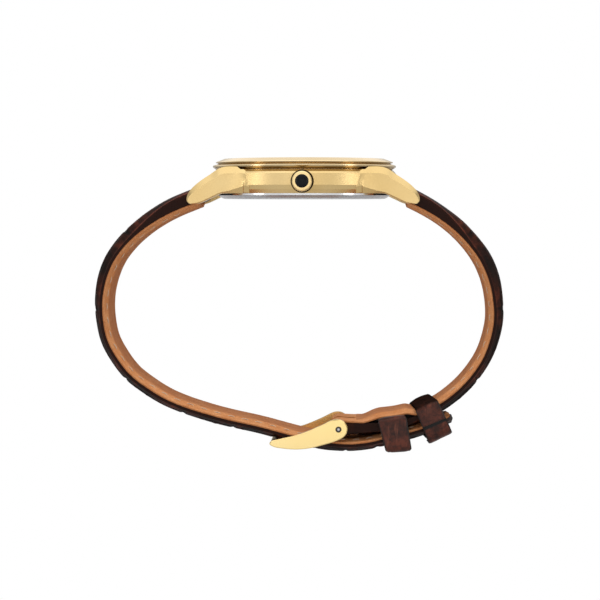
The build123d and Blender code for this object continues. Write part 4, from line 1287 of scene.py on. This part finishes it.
def floor_material():
    """White to the camera; in reflections it glows with painted light graded along Y; clear
    from below.
    """
    mat = Material("floor_pale")
    mat.finish(Base_Color=(0.50, 0.50, 0.50, 1), Roughness=0.95, Specular_IOR_Level=0.0)
    rays = mat.new("ShaderNodeLightPath").outputs
    white = mat.shader("ShaderNodeEmission", Strength=1.0)
    # in reflections the floor glows as painted light, brighter towards -Y
    glow = mat.map_range(mat.separate()["Y"], from_min=-0.20, from_max=-0.05,
                         to_min=1.38, to_max=0.72)
    reflected = mat.shader("ShaderNodeEmission", Strength=glow)
    seen = mat.mix_shaders(rays["Is Camera Ray"], mat.bsdf.outputs[0], white)
    seen = mat.mix_shaders(rays["Is Glossy Ray"], seen, reflected)
    # the floor can be seen through from below, so that the underside can be looked at
    below = mat.new("ShaderNodeNewGeometry").outputs["Backfacing"]
    seen = mat.mix_shaders(below, seen, mat.shader("ShaderNodeBsdfTransparent"))
    mat.feed(seen, mat.tree.nodes["Material Output"].inputs["Surface"])
    return mat.material


def floor():
    half, drop = 6.0, 0.012
    z = cad_box[0][2] - drop
    mesh = bpy.data.meshes.new("floor")
    mesh.from_pydata([(-half, -half, z), (half, -half, z), (half, half, z), (-half, half, z)],
                     [], [(0, 1, 2, 3)])
    mesh.materials.append(floor_material())
    obj = bpy.data.objects.new("floor", mesh)
    scene.collection.objects.link(obj)


# brightness by height of the direction, 0 straight down and 1 straight up
ROOM_FRONT = [(0.00, 0.30), (0.30, 0.26), (0.44, 0.42), (0.50, 0.46), (0.57, 0.43),
              (0.66, 0.22), (0.78, 0.24), (0.86, 0.85), (1.00, 0.95)]
ROOM_BACK = [(0.00, 0.10), (0.46, 0.12), (0.53, 0.16), (0.58, 0.34), (0.68, 0.72),
             (0.84, 0.55), (1.00, 0.95)]


def room():
    """White to the camera; it lights and reflects as a graded room, its back at +Y."""
    world = bpy.data.worlds.new("studio")
    scene.world = world
    world.use_nodes = True
    world.node_tree.nodes.clear()
    tree = Tree(world.node_tree)
    direction = tree.separate("Generated")
    height = tree.map_range(direction["Z"], from_min=-1.0, from_max=1.0)
    backward = tree.map_range(direction["Y"], from_min=-0.15, from_max=0.55)
    glow = tree.mix(backward, tree.grey(height, *ROOM_FRONT), tree.grey(height, *ROOM_BACK))
    graded = tree.shader("ShaderNodeBackground", Color=glow, Strength=1.55)
    white = tree.shader("ShaderNodeBackground", Color=(1, 1, 1, 1), Strength=1.0)
    to_camera = tree.new("ShaderNodeLightPath").outputs["Is Camera Ray"]
    output = tree.new("ShaderNodeOutputWorld")
    tree.feed(tree.mix_shaders(to_camera, graded, white), output.inputs[0])


def facing(direction):
    """The rotation of a light or camera that looks along direction."""
    return direction.to_track_quat("-Z", "Y").to_euler()


def area_light(name, location, width, height, power, target=(0, 0, -0.02)):
    light = bpy.data.lights.new(name, "AREA")
    light.energy = power
    light.shape = "RECTANGLE"
    light.size = width
    light.size_y = height
    obj = bpy.data.objects.new(name, light)
    scene.collection.objects.link(obj)
    obj.location = location
    obj.rotation_euler = facing(Vector(target) - Vector(location))
    return obj


def lights():
    key = area_light("key_top", (-0.02, -0.10, 0.50), width=0.60, height=0.26, power=1.7,
                     target=(0, 0, -0.015))
    key.visible_glossy = False
    area_light("front_soft", (0.0, -0.75, 0.12), width=0.70, height=0.16, power=0.34)
    for name, x in (("left_strip", -0.40), ("right_strip", 0.40)):
        area_light(name, (x, -0.22, 0.05), width=0.08, height=0.40, power=0.32)


def camera():
    data = bpy.data.cameras.new("camera")
    data.lens = 141.0
    data.sensor_width = 36.0
    data.clip_start = 0.01
    obj = bpy.data.objects.new("camera", data)
    scene.collection.objects.link(obj)
    obj.location = (0.01183, -0.500, -0.00278)
    obj.rotation_euler = facing(Vector((-0.02553, 1.0, -0.03745)))
    scene.camera = obj


floor()
room()
lights()
camera()
